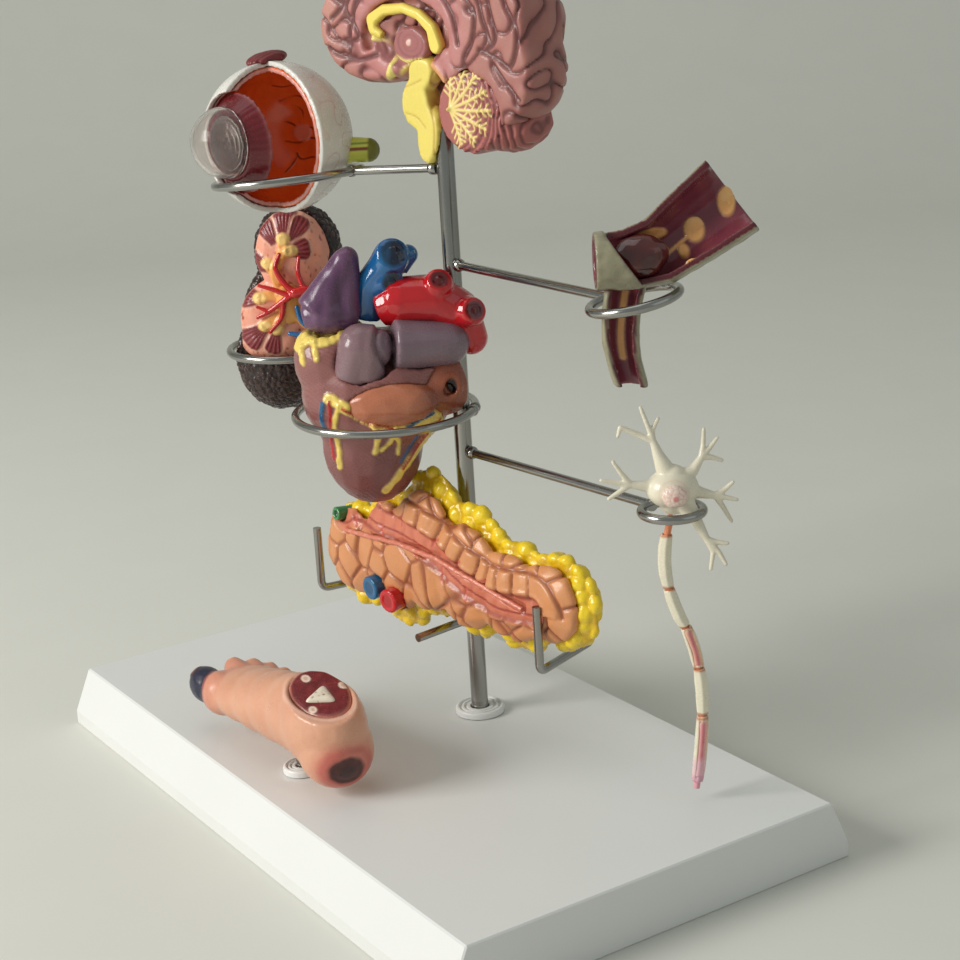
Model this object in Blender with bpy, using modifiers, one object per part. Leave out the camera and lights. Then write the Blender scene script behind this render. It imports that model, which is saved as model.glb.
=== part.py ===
"""Desk stand of eight small organ models on a steel post: constants in millimetres, scene in metres."""
import math

import bmesh
import bpy
from mathutils import Matrix, Vector

MM = 0.001
GAP = 0.35

# Board
BOARD_LENGTH = 270.0
BOARD_WIDTH = 152.0
BOARD_HEIGHT = 21.0
BOARD_LIP = 5.4
BOARD_INSET = 7.0

# Post and its collar
POST_X = 0.9
POST_Y = 24.5
POST_RADIUS = 3.0
POST_TOP = 229.0
COLLAR_RADIUS = 8.75
COLLAR_HEIGHT = 2.6
SCREW_RADIUS = 1.6

# Wire work
WIRE_RADIUS = 1.5
EYE_RING = (-50.0, -7.5, 212.0, 25.2)
KIDNEY_RING = (-87.4, 6.5, 144.0, 22.0)
HEART_RING = (-17.0, 5.0, 133.0, 31.0)
ARTERY_RING = (105.3, 20.8, 186.3, 13.3)
NEURON_RING = (103.0, 34.0, 118.3, 9.4)
CRADLE_Z = 57.0
CRADLE_LEFT = ((-60.5, 17.5), (-62.8, -1.6), 80.7)
CRADLE_RIGHT = ((46.6, 42.2), (57.8, 12.8), 79.7)
CRADLE_STUB = (4.8, -1.4)

# Directions that the display faces use, in degrees about +Z
SIDE_TURN = 57.45
EYE_TURN = 9.5
BRAIN_TURN = 14.0
PANCREAS_TURN = 8.0
FOOT_TURN = 2.0

# Centres of the organ models
EYE_CENTRE = (-51.4, -9.6, 225.7)
EYE_RADIUS = 25.6
EYE_WALL = 3.2
HEART_CENTRE = (-17.0, 5.0, 145.0)
FOOT_PEG = (3.0, -49.0)

# Ways the models lift out of their holders
UPWARD = (0.0, 0.0, 1.0)
EYE_LIFT = (0.034, -0.34, 0.94)
HEART_LIFT = (0.2605, -0.1663, 0.951)


def clear_scene():
    for item in list(bpy.data.objects):
        bpy.data.objects.remove(item, do_unlink=True)
    for item in list(bpy.data.meshes):
        bpy.data.meshes.remove(item)


def new_collection(name, helper=False):
    group = bpy.data.collections.new(name)
    bpy.context.scene.collection.children.link(group)
    group.hide_render = helper
    return group


def material(name, colour, roughness=0.45, metallic=0.0, alpha=1.0):
    found = bpy.data.materials.get(name)
    if found:
        return found
    made = bpy.data.materials.new(name)
    made.use_nodes = True
    shader = made.node_tree.nodes["Principled BSDF"]
    shader.inputs["Base Color"].default_value = (*colour, 1.0)
    shader.inputs["Roughness"].default_value = roughness
    shader.inputs["Metallic"].default_value = metallic
    shader.inputs["Alpha"].default_value = alpha
    made.diffuse_color = (*colour, alpha)
    return made


def frame_at(centre, turn=0.0):
    return Matrix.Translation(Vector(centre)) @ Matrix.Rotation(math.radians(turn), 4, "Z")


def mesh_object(name, bm, group, colour):
    bmesh.ops.recalc_face_normals(bm, faces=bm.faces)
    mesh = bpy.data.meshes.new(name)
    bm.to_mesh(mesh)
    bm.free()
    mesh.materials.append(colour)
    made = bpy.data.objects.new(name, mesh)
    group.objects.link(made)
    return made


def bake(item):
    """Applies an object's modifiers by swapping in the evaluated mesh."""
    bpy.context.view_layer.update()
    graph = bpy.context.evaluated_depsgraph_get()
    mesh = bpy.data.meshes.new_from_object(item.evaluated_get(graph))
    item.modifiers.clear()
    item.data = mesh
    return item


def tidy(item, merge=0.02):
    """Merges near points, drops loose scraps and keeps the largest closed body."""
    bm = bmesh.new()
    bm.from_mesh(item.data)
    bmesh.ops.remove_doubles(bm, verts=bm.verts, dist=merge * MM)
    bmesh.ops.dissolve_degenerate(bm, edges=bm.edges, dist=0.5 * merge * MM)
    loose = [edge for edge in bm.edges if not edge.link_faces]
    bmesh.ops.delete(bm, geom=loose, context="EDGES")
    keep_largest(bm)
    bmesh.ops.triangulate(bm, faces=bm.faces)
    bmesh.ops.recalc_face_normals(bm, faces=bm.faces)
    bm.to_mesh(item.data)
    bm.free()
    return item


def keep_largest(bm):
    """Deletes every shell but the one that spans the most; shells are faces joined through shared edges."""
    seen = set()
    islands = []
    for start in bm.faces:
        if start in seen:
            continue
        stack = [start]
        island = set()
        while stack:
            face = stack.pop()
            if face in island:
                continue
            island.add(face)
            for edge in face.edges:
                if len(edge.link_faces) == 2:
                    stack.extend(edge.link_faces)
        seen |= island
        islands.append(island)
    if len(islands) < 2:
        return
    islands.sort(key=span, reverse=True)
    extra = [face for island in islands[1:] for face in island]
    bmesh.ops.delete(bm, geom=extra, context="FACES")


def span(island):
    points = [vert.co for face in island for vert in face.verts]
    low = [min(point[axis] for point in points) for axis in range(3)]
    high = [max(point[axis] for point in points) for axis in range(3)]
    return math.dist(low, high)


def boolean(item, tool, operation="DIFFERENCE", drop=True):
    cut = item.modifiers.new("cut", "BOOLEAN")
    cut.solver = "EXACT"
    cut.operation = operation
    cut.object = tool
    bake(item)
    if drop:
        bpy.data.objects.remove(tool, do_unlink=True)
    return item


def helper_of(bm):
    bmesh.ops.recalc_face_normals(bm, faces=bm.faces)
    mesh = bpy.data.meshes.new("tool")
    bm.to_mesh(mesh)
    bm.free()
    made = bpy.data.objects.new("tool", mesh)
    CUTTERS.objects.link(made)
    made.display_type = "WIRE"
    made.hide_render = True
    return made


def box_bm(low, high, frame=None):
    bm = bmesh.new()
    size = [b - a for a, b in zip(low, high)]
    middle = [(a + b) / 2 for a, b in zip(low, high)]
    bmesh.ops.create_cube(bm, size=1.0)
    bmesh.ops.scale(bm, vec=size, verts=bm.verts)
    bmesh.ops.translate(bm, vec=middle, verts=bm.verts)
    place(bm, frame)
    return bm


def place(bm, frame=None):
    if frame is not None:
        bmesh.ops.transform(bm, matrix=frame, verts=bm.verts)
    bmesh.ops.scale(bm, vec=(MM, MM, MM), verts=bm.verts)


def ball(bm, centre, radii, turn=(0, 0, 0), frame=None, segments=16, rings=10):
    """Adds an ellipsoid, in millimetres, to a bmesh that is in metres."""
    made = bmesh.ops.create_uvsphere(bm, u_segments=segments, v_segments=rings, radius=1.0)
    verts = made["verts"]
    shape = Matrix.Diagonal((*radii, 1.0))
    spin = Matrix.Rotation(math.radians(turn[2]), 4, "Z") @ Matrix.Rotation(math.radians(turn[1]), 4, "Y")
    spin = spin @ Matrix.Rotation(math.radians(turn[0]), 4, "X")
    whole = Matrix.Translation(Vector(centre)) @ spin @ shape
    if frame is not None:
        whole = frame @ whole
    bmesh.ops.transform(bm, matrix=Matrix.Scale(MM, 4) @ whole, verts=verts)


def tube_between(bm, start, end, radius, far_radius=None, sides=12, frame=None):
    """Adds a capped round bar, or a cone when far_radius differs."""
    a = Vector(start)
    b = Vector(end)
    if frame is not None:
        a = frame @ a
        b = frame @ b
    far = radius if far_radius is None else far_radius
    made = bmesh.ops.create_cone(
        bm, cap_ends=True, segments=sides, radius1=radius, radius2=far, depth=(b - a).length
    )
    turn = (b - a).to_track_quat("Z", "Y").to_matrix().to_4x4()
    whole = Matrix.Scale(MM, 4) @ Matrix.Translation((a + b) / 2) @ turn
    bmesh.ops.transform(bm, matrix=whole, verts=made["verts"])


def blob(name, group, colour, balls, frame, voxel=1.6, triangles=360, smooth=3):
    """Fuses ellipsoids into one soft body with Remesh, then thins it with Decimate."""
    bm = bmesh.new()
    for entry in balls:
        ball(bm, entry[0], entry[1], entry[2] if len(entry) > 2 else (0, 0, 0), frame)
    item = mesh_object(name, bm, group, colour)
    fuse = item.modifiers.new("fuse", "REMESH")
    fuse.mode = "VOXEL"
    fuse.voxel_size = voxel * MM
    soften = item.modifiers.new("soften", "SMOOTH")
    soften.iterations = smooth
    soften.factor = 0.5
    bake(item)
    thin(item, triangles)
    return tidy(item)


def thin(item, triangles):
    count = sum(len(face.vertices) - 2 for face in item.data.polygons)
    if count <= triangles:
        return item
    fewer = item.modifiers.new("thin", "DECIMATE")
    fewer.ratio = triangles / count
    return bake(item)


def grown(item, gap=GAP):
    """A copy of a body, swollen along its normals, to cut its seat out of a neighbour."""
    bm = bmesh.new()
    bm.from_mesh(item.data)
    bm.transform(item.matrix_world)
    bmesh.ops.recalc_face_normals(bm, faces=bm.faces)
    bm.normal_update()
    moves = [(vert, vert.normal * vert.calc_shell_factor() * gap * MM) for vert in bm.verts]
    for vert, move in moves:
        if move.length > 2.2 * gap * MM:
            move.length = 2.2 * gap * MM
        vert.co += move
    return helper_of(bm)


def seat(item, *neighbours, gap=GAP):
    for other in neighbours:
        boolean(item, grown(other, gap))
        tidy(item)
    return item


def cut_box(item, low, high, frame=None):
    boolean(item, helper_of(box_bm(low, high, frame)))
    return tidy(item)


def cut_ball(item, centre, radii, frame=None, turn=(0, 0, 0)):
    bm = bmesh.new()
    ball(bm, centre, radii, turn, frame, 16, 10)
    boolean(item, helper_of(bm))
    return tidy(item)


def cut_bar(item, start, end, radius, frame=None, far_radius=None, sides=16):
    bm = bmesh.new()
    tube_between(bm, start, end, radius, far_radius, sides, frame)
    boolean(item, helper_of(bm))
    return tidy(item)


def add_bar(item, start, end, radius, frame=None, far_radius=None, sides=12):
    bm = bmesh.new()
    tube_between(bm, start, end, radius, far_radius, sides, frame)
    boolean(item, helper_of(bm), "UNION")
    return tidy(item)


def add_ball(item, centre, radii, frame=None, turn=(0, 0, 0), segments=14, rings=8):
    bm = bmesh.new()
    ball(bm, centre, radii, turn, frame, segments, rings)
    boolean(item, helper_of(bm), "UNION")
    return tidy(item)


def bar(name, group, colour, start, end, radius, frame=None, far_radius=None, sides=12):
    bm = bmesh.new()
    tube_between(bm, start, end, radius, far_radius, sides, frame)
    return mesh_object(name, bm, group, colour)


def wire_path(name, group, colour, points, radius=WIRE_RADIUS, bend=3.2, sides=3):
    """A wire bent round its corners: a curve with a round bevel and filled ends."""
    path = [Vector(points[0])]
    for before, corner, after in zip(points, points[1:], points[2:]):
        corner = Vector(corner)
        back = (Vector(before) - corner).normalized() * bend
        ahead = (Vector(after) - corner).normalized() * bend
        for step in (0.0, 0.33, 0.67, 1.0):
            first = (corner + back).lerp(corner, step)
            path.append(first.lerp(corner.lerp(corner + ahead, step), step))
    path.append(Vector(points[-1]))
    return sweep(name, group, colour, path, radius, sides)


def sweep(name, group, colour, path, radius, sides=3, radii=None, frame=None):
    data = bpy.data.curves.new(name, "CURVE")
    data.dimensions = "3D"
    data.bevel_depth = radius * MM
    data.bevel_resolution = sides - 2
    data.use_fill_caps = True
    spline = data.splines.new("POLY")
    spline.points.add(len(path) - 1)
    for index, point in enumerate(path):
        where = Vector(point) if frame is None else frame @ Vector(point)
        spline.points[index].co = (*(where * MM), 1.0)
        spline.points[index].radius = 1.0 if radii is None else radii[index]
    curve = bpy.data.objects.new(name + "_path", data)
    CUTTERS.objects.link(curve)
    bpy.context.view_layer.update()
    graph = bpy.context.evaluated_depsgraph_get()
    mesh = bpy.data.meshes.new_from_object(curve.evaluated_get(graph))
    bpy.data.objects.remove(curve, do_unlink=True)
    mesh.materials.clear()
    mesh.materials.append(colour)
    item = bpy.data.objects.new(name, mesh)
    group.objects.link(item)
    return tidy(item, 0.01)


def ring_bm(centre, radius, wire, tilt=None, around=26, across=6):
    bm = bmesh.new()
    lean = Matrix.Identity(4) if tilt is None else tilt
    loops = []
    for step in range(around):
        angle = 2 * math.pi * step / around
        spot = Vector((math.cos(angle), math.sin(angle), 0.0))
        loop = []
        for part in range(across):
            turn = 2 * math.pi * (part + 0.5) / across
            local = spot * (radius + wire * math.cos(turn)) + Vector((0, 0, wire * math.sin(turn)))
            loop.append(bm.verts.new((Vector(centre) + (lean @ local)) * MM))
        loops.append(loop)
    for step in range(around):
        this = loops[step]
        following = loops[(step + 1) % around]
        for part in range(across):
            other = (part + 1) % across
            bm.faces.new((this[part], following[part], following[other], this[other]))
    return bm


def post_point(target, distance, height=None):
    """A point on the line from the post's axis towards target, at a distance from the axis."""
    line = Vector((target[0] - POST_X, target[1] - POST_Y, 0.0)).normalized() * distance
    return Vector((POST_X + line.x, POST_Y + line.y, target[2] if height is None else height))


def ring_arm(name, ring, start_height=None, tilt=None, weld=2.3):
    """One ring of wire with the straight arm that joins it to the post."""
    centre = Vector(ring[:3])
    item = mesh_object(name, ring_bm(centre, ring[3], WIRE_RADIUS, tilt), STAND, STEEL)
    reach = Vector((centre.x - POST_X, centre.y - POST_Y, 0.0)).length
    height = centre.z if start_height is None else start_height
    start = post_point(centre, POST_RADIUS + GAP, height)
    end = post_point(centre, reach - ring[3])
    if tilt is not None:
        direction = (end - Vector((centre.x, centre.y, end.z))).normalized() * ring[3]
        end = centre + (tilt @ direction)
    add_bar(item, start, end, WIRE_RADIUS)
    bead = start.lerp(end, 1.6 / (end - start).length)
    add_bar(item, start, bead, weld, None, 1.55)
    return item


def hang(name, where, direction, pieces):
    """An empty on the joint's axis, its z along the motion, that carries one removable model's pieces."""
    pivot = bpy.data.objects.new(name, None)
    pivot.empty_display_size = 12 * MM
    pieces[0].users_collection[0].objects.link(pivot)
    turn = Vector(direction).to_track_quat("Z", "Y").to_matrix().to_4x4()
    pivot.matrix_world = Matrix.Translation(Vector(where) * MM) @ turn
    for piece in pieces:
        piece.parent = pivot
        piece.matrix_parent_inverse = pivot.matrix_world.inverted()


def base_board():
    half = BOARD_WIDTH / 2
    slope = [(-half, 0), (half, 0), (half, BOARD_LIP), (half - BOARD_INSET, BOARD_HEIGHT)]
    slope += [(-half + BOARD_INSET, BOARD_HEIGHT), (-half, BOARD_LIP)]
    bm = bmesh.new()
    verts = [bm.verts.new((-BOARD_LENGTH / 2 * MM, y * MM, z * MM)) for y, z in slope]
    face = bm.faces.new(verts)
    made = bmesh.ops.extrude_face_region(bm, geom=[face])
    moved = [part for part in made["geom"] if isinstance(part, bmesh.types.BMVert)]
    bmesh.ops.translate(bm, vec=(BOARD_LENGTH * MM, 0, 0), verts=moved)
    item = mesh_object("base_board", bm, STAND, WHITE)
    edges = item.modifiers.new("edges", "BEVEL")
    edges.width = 0.5 * MM
    edges.segments = 1
    edges.limit_method = "ANGLE"
    bake(item)
    for x, y in ((POST_X, POST_Y), FOOT_PEG):
        cut_bar(item, (x, y, -1), (x, y, 6.0), 5.0)
        cut_bar(item, (x, y, 5.0), (x, y, 30), SCREW_RADIUS + GAP)
    return item


def collar(name, x, y, radius, bore):
    low = (x, y, BOARD_HEIGHT + GAP)
    high = (x, y, BOARD_HEIGHT + COLLAR_HEIGHT)
    item = bar(name, STAND, PLASTIC, low, high, radius, sides=32)
    edges = item.modifiers.new("edges", "BEVEL")
    edges.width = 0.4 * MM
    edges.segments = 1
    edges.limit_method = "ANGLE"
    edges.angle_limit = math.radians(50)
    bake(item)
    return cut_bar(item, (x, y, 10), (x, y, 40), bore, sides=24)


def post():
    low = (POST_X, POST_Y, BOARD_HEIGHT + GAP)
    item = bar("post", STAND, STEEL, low, (POST_X, POST_Y, POST_TOP), POST_RADIUS, sides=24)
    edges = item.modifiers.new("edges", "BEVEL")
    edges.width = 0.4 * MM
    edges.segments = 1
    edges.limit_method = "ANGLE"
    edges.angle_limit = math.radians(50)
    bake(item)
    cut_bar(item, (POST_X, POST_Y, 10), (POST_X, POST_Y, 34), SCREW_RADIUS + GAP)
    return item


def screw(name, x, y, top):
    item = bar(name, STAND, ZINC, (x, y, 2.6), (x, y, 5.6), 4.2, sides=16)
    add_bar(item, (x, y, 5.0), (x, y, top), SCREW_RADIUS, sides=10)
    cut_bar(item, (x, y, 1), (x, y, 4.2), 1.6, sides=6)
    return item


def cradle_wires():
    z = CRADLE_Z
    corner, foot, top = CRADLE_LEFT
    start = post_point((*corner, z), POST_RADIUS + GAP)
    wire_path("pancreas_cradle_left", STAND, STEEL, [start, (*corner, z), (*foot, z), (*foot, top)])
    corner, foot, top = CRADLE_RIGHT
    start = post_point((*corner, z), POST_RADIUS + GAP)
    wire_path("pancreas_cradle_right", STAND, STEEL, [start, (*corner, z), (*foot, z), (*foot, top)])
    start = post_point((*CRADLE_STUB, z), POST_RADIUS + GAP)
    bar("pancreas_cradle_stub", STAND, STEEL, start, (*CRADLE_STUB, z), WIRE_RADIUS, sides=10)


def foot_peg():
    x, y = FOOT_PEG
    item = bar("foot_peg", STAND, STEEL, (x, y, BOARD_HEIGHT + GAP), (x, y, 38.0), 2.0, sides=16)
    cut_bar(item, (x, y, 10), (x, y, 30), 1.0)
    return item


def stand():
    base_board()
    collar("post_collar", POST_X, POST_Y, COLLAR_RADIUS, POST_RADIUS + GAP)
    post()
    screw("post_screw", POST_X, POST_Y, 32.0)
    across = Vector((math.cos(math.radians(SIDE_TURN)), math.sin(math.radians(SIDE_TURN)), 0.0))
    ahead = Vector((across.y, -across.x, 0.0))
    lean = Matrix.Rotation(math.radians(3.5), 3, ahead) @ Matrix.Rotation(math.radians(4.5), 3, -across)
    ring_arm("eye_ring_arm", EYE_RING, 215.3, lean)
    ring_arm("kidney_ring_arm", KIDNEY_RING)
    heart_ring()
    ring_arm("artery_ring_arm", ARTERY_RING, 183.4, Matrix.Rotation(math.radians(10.5), 3, ahead))
    ring_arm("neuron_ring_arm", NEURON_RING)
    cradle_wires()
    x, y = FOOT_PEG
    collar("foot_collar", x, y, 6.6, 2.0 + GAP)
    foot_peg()
    foot_screw = bar("foot_screw", STAND, ZINC, (x, y, 2.6), (x, y, 5.6), 4.2, sides=16)
    add_bar(foot_screw, (x, y, 5.0), (x, y, 28.0), 0.65, sides=8)
    cut_bar(foot_screw, (x, y, 1), (x, y, 4.2), 1.6, sides=6)


def heart_ring():
    """The post stands just inside this ring, whose wire is notched round it where the two are welded."""
    loop = ring_bm(HEART_RING[:3], HEART_RING[3], WIRE_RADIUS, None, 30)
    item = mesh_object("heart_ring", loop, STAND, STEEL)
    cut_bar(item, (POST_X, POST_Y, 120), (POST_X, POST_Y, 146), POST_RADIUS + GAP, sides=24)


def brain():
    """Half a brain, cut on its middle plane. Local x runs to the back of the head, y into the half, z up."""
    frame = frame_at((POST_X, POST_Y, 217.0), BRAIN_TURN)
    face = -4.6
    stem = blob("brain_stem", BRAIN, CREAM, [
        ((-3.0, face + 3.0, 9.0), (5.0, 6.0, 10.0), (0, 12, 0)),
        ((-8.0, face + 2.0, 19.5), (6.2, 8.5, 8.0)),
        ((-4.5, face + 3.0, 30.0), (6.0, 6.0, 5.5)),
    ], frame, 1.3, 180)
    cut_box(stem, (-60, -30, -10), (60, face, 90), frame)
    cut_box(stem, (-60, -30, -10), (60, 30, 0.5), frame)
    cerebellum = blob("brain_cerebellum", BRAIN, LILAC, [
        ((16.0, face + 6.0, 17.5), (14.0, 18.0, 13.5)),
        ((24.0, face + 12.0, 13.5), (13.0, 13.0, 9.5)),
    ], frame, 1.6, 240)
    cut_box(cerebellum, (-60, -40, -10), (60, face, 90), frame)
    thalamus = blob("brain_thalamus", BRAIN, MAUVE, [
        ((-8.0, face + 2.0, 38.5), (8.0, 7.0, 6.0)),
    ], frame, 1.2, 110)
    cut_box(thalamus, (-60, -40, -10), (60, face - 0.4, 90), frame)
    callosum_path = []
    for step in range(11):
        angle = math.radians(200.0 - 21.5 * step)
        callosum_path.append((-11.0 + 18.0 * math.cos(angle), face + 1.6, 40.5 + 11.0 * math.sin(angle)))
    callosum = sweep("corpus_callosum", BRAIN, YELLOW, callosum_path, 2.6, 3, None, frame)
    cut_box(callosum, (-60, -40, -10), (60, face - 0.3, 90), frame)
    cerebrum = blob("brain_cerebrum", BRAIN, PINK, [
        ((-28.0, face + 10.0, 44.0), (25.0, 22.0, 19.0)),
        ((-6.0, face + 10.0, 52.0), (30.0, 25.0, 19.0)),
        ((18.0, face + 10.0, 45.0), (24.5, 24.0, 24.0)),
        ((25.0, face + 9.0, 30.0), (19.0, 21.0, 19.0)),
        ((4.0, face + 22.0, 27.0), (27.0, 14.0, 12.0)),
    ], frame, 2.0, 620, 2)
    cut_box(cerebrum, (-90, -60, -10), (90, face, 120), frame)
    cut_ball(cerebrum, (-9.0, face, 41.0), (17.5, 5.0, 10.5), frame)
    seat(cerebrum, cerebellum, stem, thalamus, callosum)
    seat(cerebellum, stem)
    seat(thalamus, stem, callosum)
    seat(stem, callosum)
    for piece in (stem, cerebellum, cerebrum):
        bore_top = (POST_X, POST_Y, POST_TOP + GAP)
        cut_bar(piece, (POST_X, POST_Y, 200), bore_top, POST_RADIUS + GAP, sides=24)
    pieces = [cerebrum, cerebellum, stem, callosum, thalamus]
    hang("brain_lift_axis", (POST_X, POST_Y, POST_TOP), UPWARD, pieces)


def eye():
    """Back half of an eyeball with one front quarter. It looks along local -y; its open side is local x."""
    frame = frame_at(EYE_CENTRE, EYE_TURN)
    r = EYE_RADIUS
    outer = shell("eye_sclera", EYE, IVORY, frame, r, r - EYE_WALL / 2)
    inner = shell("eye_choroid", EYE, ORANGE, frame, r - EYE_WALL / 2 - GAP, r - EYE_WALL - GAP)
    iris = bar("eye_iris", EYE, MAROON, (0, -14.6, 0), (0, -20.8, 0), 17.0, frame, 12.2, 22)
    cut_bar(iris, (0, -10, 0), (0, -19.0, 0), 14.6, frame, 8.6, 18)
    lens = bmesh.new()
    ball(lens, (0, -21.2, 0.6), (9.2, 2.9, 9.2), (0, 0, 0), frame, 16, 10)
    lens = mesh_object("eye_lens", lens, EYE, GLASS)
    bm = bmesh.new()
    ball(bm, (0, -21.5, 1.0), (12.0, 12.0, 12.0), (0, 0, 0), frame, 20, 12)
    cornea = mesh_object("eye_cornea", bm, EYE, GLASS)
    cut_box(cornea, (-40, -21.3, -40), (40, 40, 40), frame)
    cut_ball(cornea, (0, -21.5, 1.0), (10.9, 10.9, 10.9), frame)
    nerve = bar("optic_nerve", EYE, LIME, (16.2, 17.7, -5.6), (21.4, 23.4, -5.9), 3.8, frame, 3.5, 12)
    muscle = blob("eye_muscle", EYE, MAROON, [
        ((-5.0, 2.0, 26.0), (5.5, 8.0, 2.2), (8, 0, 0)),
    ], frame, 0.8, 120)
    for piece in (outer, inner):
        cut_box(piece, (-1.5, -60, -60), (60, -1.0, 60), frame)
        cut_bar(piece, (0, -13.8, 0), (0, -60, 0), 17.0 + GAP, frame, None, 20)
    seat(iris, cornea)
    seat(lens, iris)
    seat(outer, nerve)
    seat(muscle, outer)
    seat(nerve, inner)
    hang("eye_lift_axis", EYE_CENTRE, EYE_LIFT, [outer, inner, iris, lens, cornea, nerve, muscle])


def shell(name, group, colour, frame, outside, inside):
    bm = bmesh.new()
    ball(bm, (0, 0, 0), (outside, outside, outside), (90, 0, 0), frame, 20, 12)
    item = mesh_object(name, bm, group, colour)
    bm = bmesh.new()
    ball(bm, (0, 0, 0), (inside, inside, inside), (90, 0, 0), frame, 20, 12)
    return boolean(item, helper_of(bm))


def kidney():
    """A kidney cut open on its front, with the uncut lower end hanging through its ring."""
    frame = frame_at((KIDNEY_RING[0], KIDNEY_RING[1], KIDNEY_RING[2]), SIDE_TURN)
    body = blob("kidney_capsule", KIDNEY, BROWN, [
        ((6.0, 1.0, 36.0), (16.0, 12.0, 17.0)),
        ((1.0, 1.0, 12.0), (17.0, 14.0, 20.0)),
        ((-3.0, 0.0, -4.0), (17.0, 15.0, 19.0)),
    ], frame, 1.8, 320)
    cut_box(body, (-40, -40, -2.0), (13.0, -3.0, 80), frame)
    face = blob("kidney_section", KIDNEY, SALMON, [
        ((4.5, -6.0, 36.0), (13.5, 5.5, 16.0)),
        ((-1.0, -6.0, 12.0), (16.0, 6.0, 15.0)),
        ((-3.0, -6.0, 4.0), (14.0, 6.0, 8.0)),
    ], frame, 1.4, 240)
    pelvis = blob("renal_pelvis_ureter", KIDNEY, AMBER, [
        ((2.0, -11.0, 18.0), (5.0, 3.0, 8.0)),
        ((9.5, -11.0, 12.0), (5.5, 3.0, 4.0), (0, 20, 0)),
        ((13.5, -10.5, 8.5), (3.0, 3.0, 5.5), (0, -15, 0)),
    ], frame, 1.0, 140)
    artery_line = [(-6, -12.3, 8), (-1, -14.2, 14), (4, -15.0, 18), (11, -14.5, 20.5), (18, -13, 22)]
    artery = sweep("renal_artery", KIDNEY, RED, artery_line, 1.5, 3, None, frame)
    vein_line = [(9, -15.2, 8), (13, -15.0, 11.5), (18, -14.0, 14), (21, -13.0, 15)]
    vein = sweep("renal_vein", KIDNEY, BLUE, vein_line, 2.2, 3, None, frame)
    seat(body, face)
    seat(pelvis, face, body)
    seat(artery, pelvis, face)
    seat(vein, pelvis, face, body, artery)
    hang("kidney_lift_axis", KIDNEY_RING[:3], UPWARD, [body, face, pelvis, artery, vein])


def heart():
    """Local x runs to the right-hand outline, local -y to the front face, z up."""
    frame = frame_at(HEART_CENTRE, SIDE_TURN)
    body = blob("heart_ventricles", HEART, ROSEWOOD, [
        ((-2.0, -5.0, -4.0), (26.0, 18.0, 22.0)),
        ((-5.0, -6.0, -23.0), (17.0, 13.5, 21.0)),
        ((-15.0, -5.0, 8.0), (14.5, 13.0, 15.0)),
        ((12.0, -3.0, 6.0), (16.0, 14.0, 14.0)),
    ], frame, 1.9, 440)
    trunk = blob("pulmonary_trunk", HEART, GREYMAUVE, [
        ((12.0, -13.0, 13.0), (14.5, 8.0, 8.5)),
        ((-5.0, -17.0, 9.0), (10.5, 6.0, 9.0)),
        ((20.0, -6.0, 16.0), (11.0, 10.0, 8.0)),
    ], frame, 1.5, 200)
    atrium = blob("right_atrium", HEART, TAN, [
        ((3.0, -19.5, -5.0), (15.5, 5.5, 7.5)),
        ((20.0, -7.0, -2.0), (11.0, 11.0, 11.0)),
    ], frame, 1.5, 200)
    auricle = blob("left_auricle", HEART, PURPLE, [
        ((-17.0, -9.0, 26.0), (9.5, 9.0, 11.0), (0, 12, 0)),
        ((-14.0, -8.0, 37.0), (6.0, 6.0, 7.0), (0, 12, 0)),
    ], frame, 1.4, 150)
    aorta = blob("aortic_arch", HEART, RED, [
        ((7.0, -5.0, 26.0), (9.0, 9.0, 8.0)),
        ((19.0, -4.0, 26.0), (9.5, 9.0, 9.0)),
        ((29.0, -4.0, 17.0), (7.0, 8.0, 11.0)),
        ((20.0, -6.0, 31.0), (4.0, 4.0, 5.0)),
        ((30.0, -5.0, 24.0), (4.5, 4.5, 5.0)),
    ], frame, 1.4, 240)
    veins = blob("vena_cava", HEART, BLUE, [
        ((-2.0, -4.0, 33.0), (6.0, 6.0, 8.0)),
        ((4.0, -5.0, 39.0), (6.5, 6.0, 7.0)),
        ((10.0, -5.0, 37.0), (5.0, 5.0, 5.5)),
    ], frame, 1.3, 160)
    cut_bar(veins, (5.0, -7.0, 41.0), (6.5, -9.0, 52.0), 3.2, frame)
    cut_bar(aorta, (20.0, -7.0, 33.0), (20.5, -8.0, 45.0), 2.2, frame)
    cut_bar(atrium, (22.0, -14.0, -2.0), (24.0, -30.0, -3.0), 2.4, frame)
    seat(body, trunk, atrium, auricle, aorta, veins)
    seat(trunk, atrium, auricle, aorta)
    seat(aorta, atrium, veins, auricle)
    seat(veins, auricle)
    pieces = [body, trunk, atrium, auricle, aorta, veins]
    target = math.degrees(math.atan2(KIDNEY_RING[1] - POST_Y, KIDNEY_RING[0] - POST_X))
    back = frame_at((POST_X, POST_Y, 0.0), target)
    for piece in pieces:
        cut_box(piece, (-150, -100, 0), (150, 3.6, 300), back)
    hang("heart_lift_axis", HEART_RING[:3], HEART_LIFT, pieces)


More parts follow.
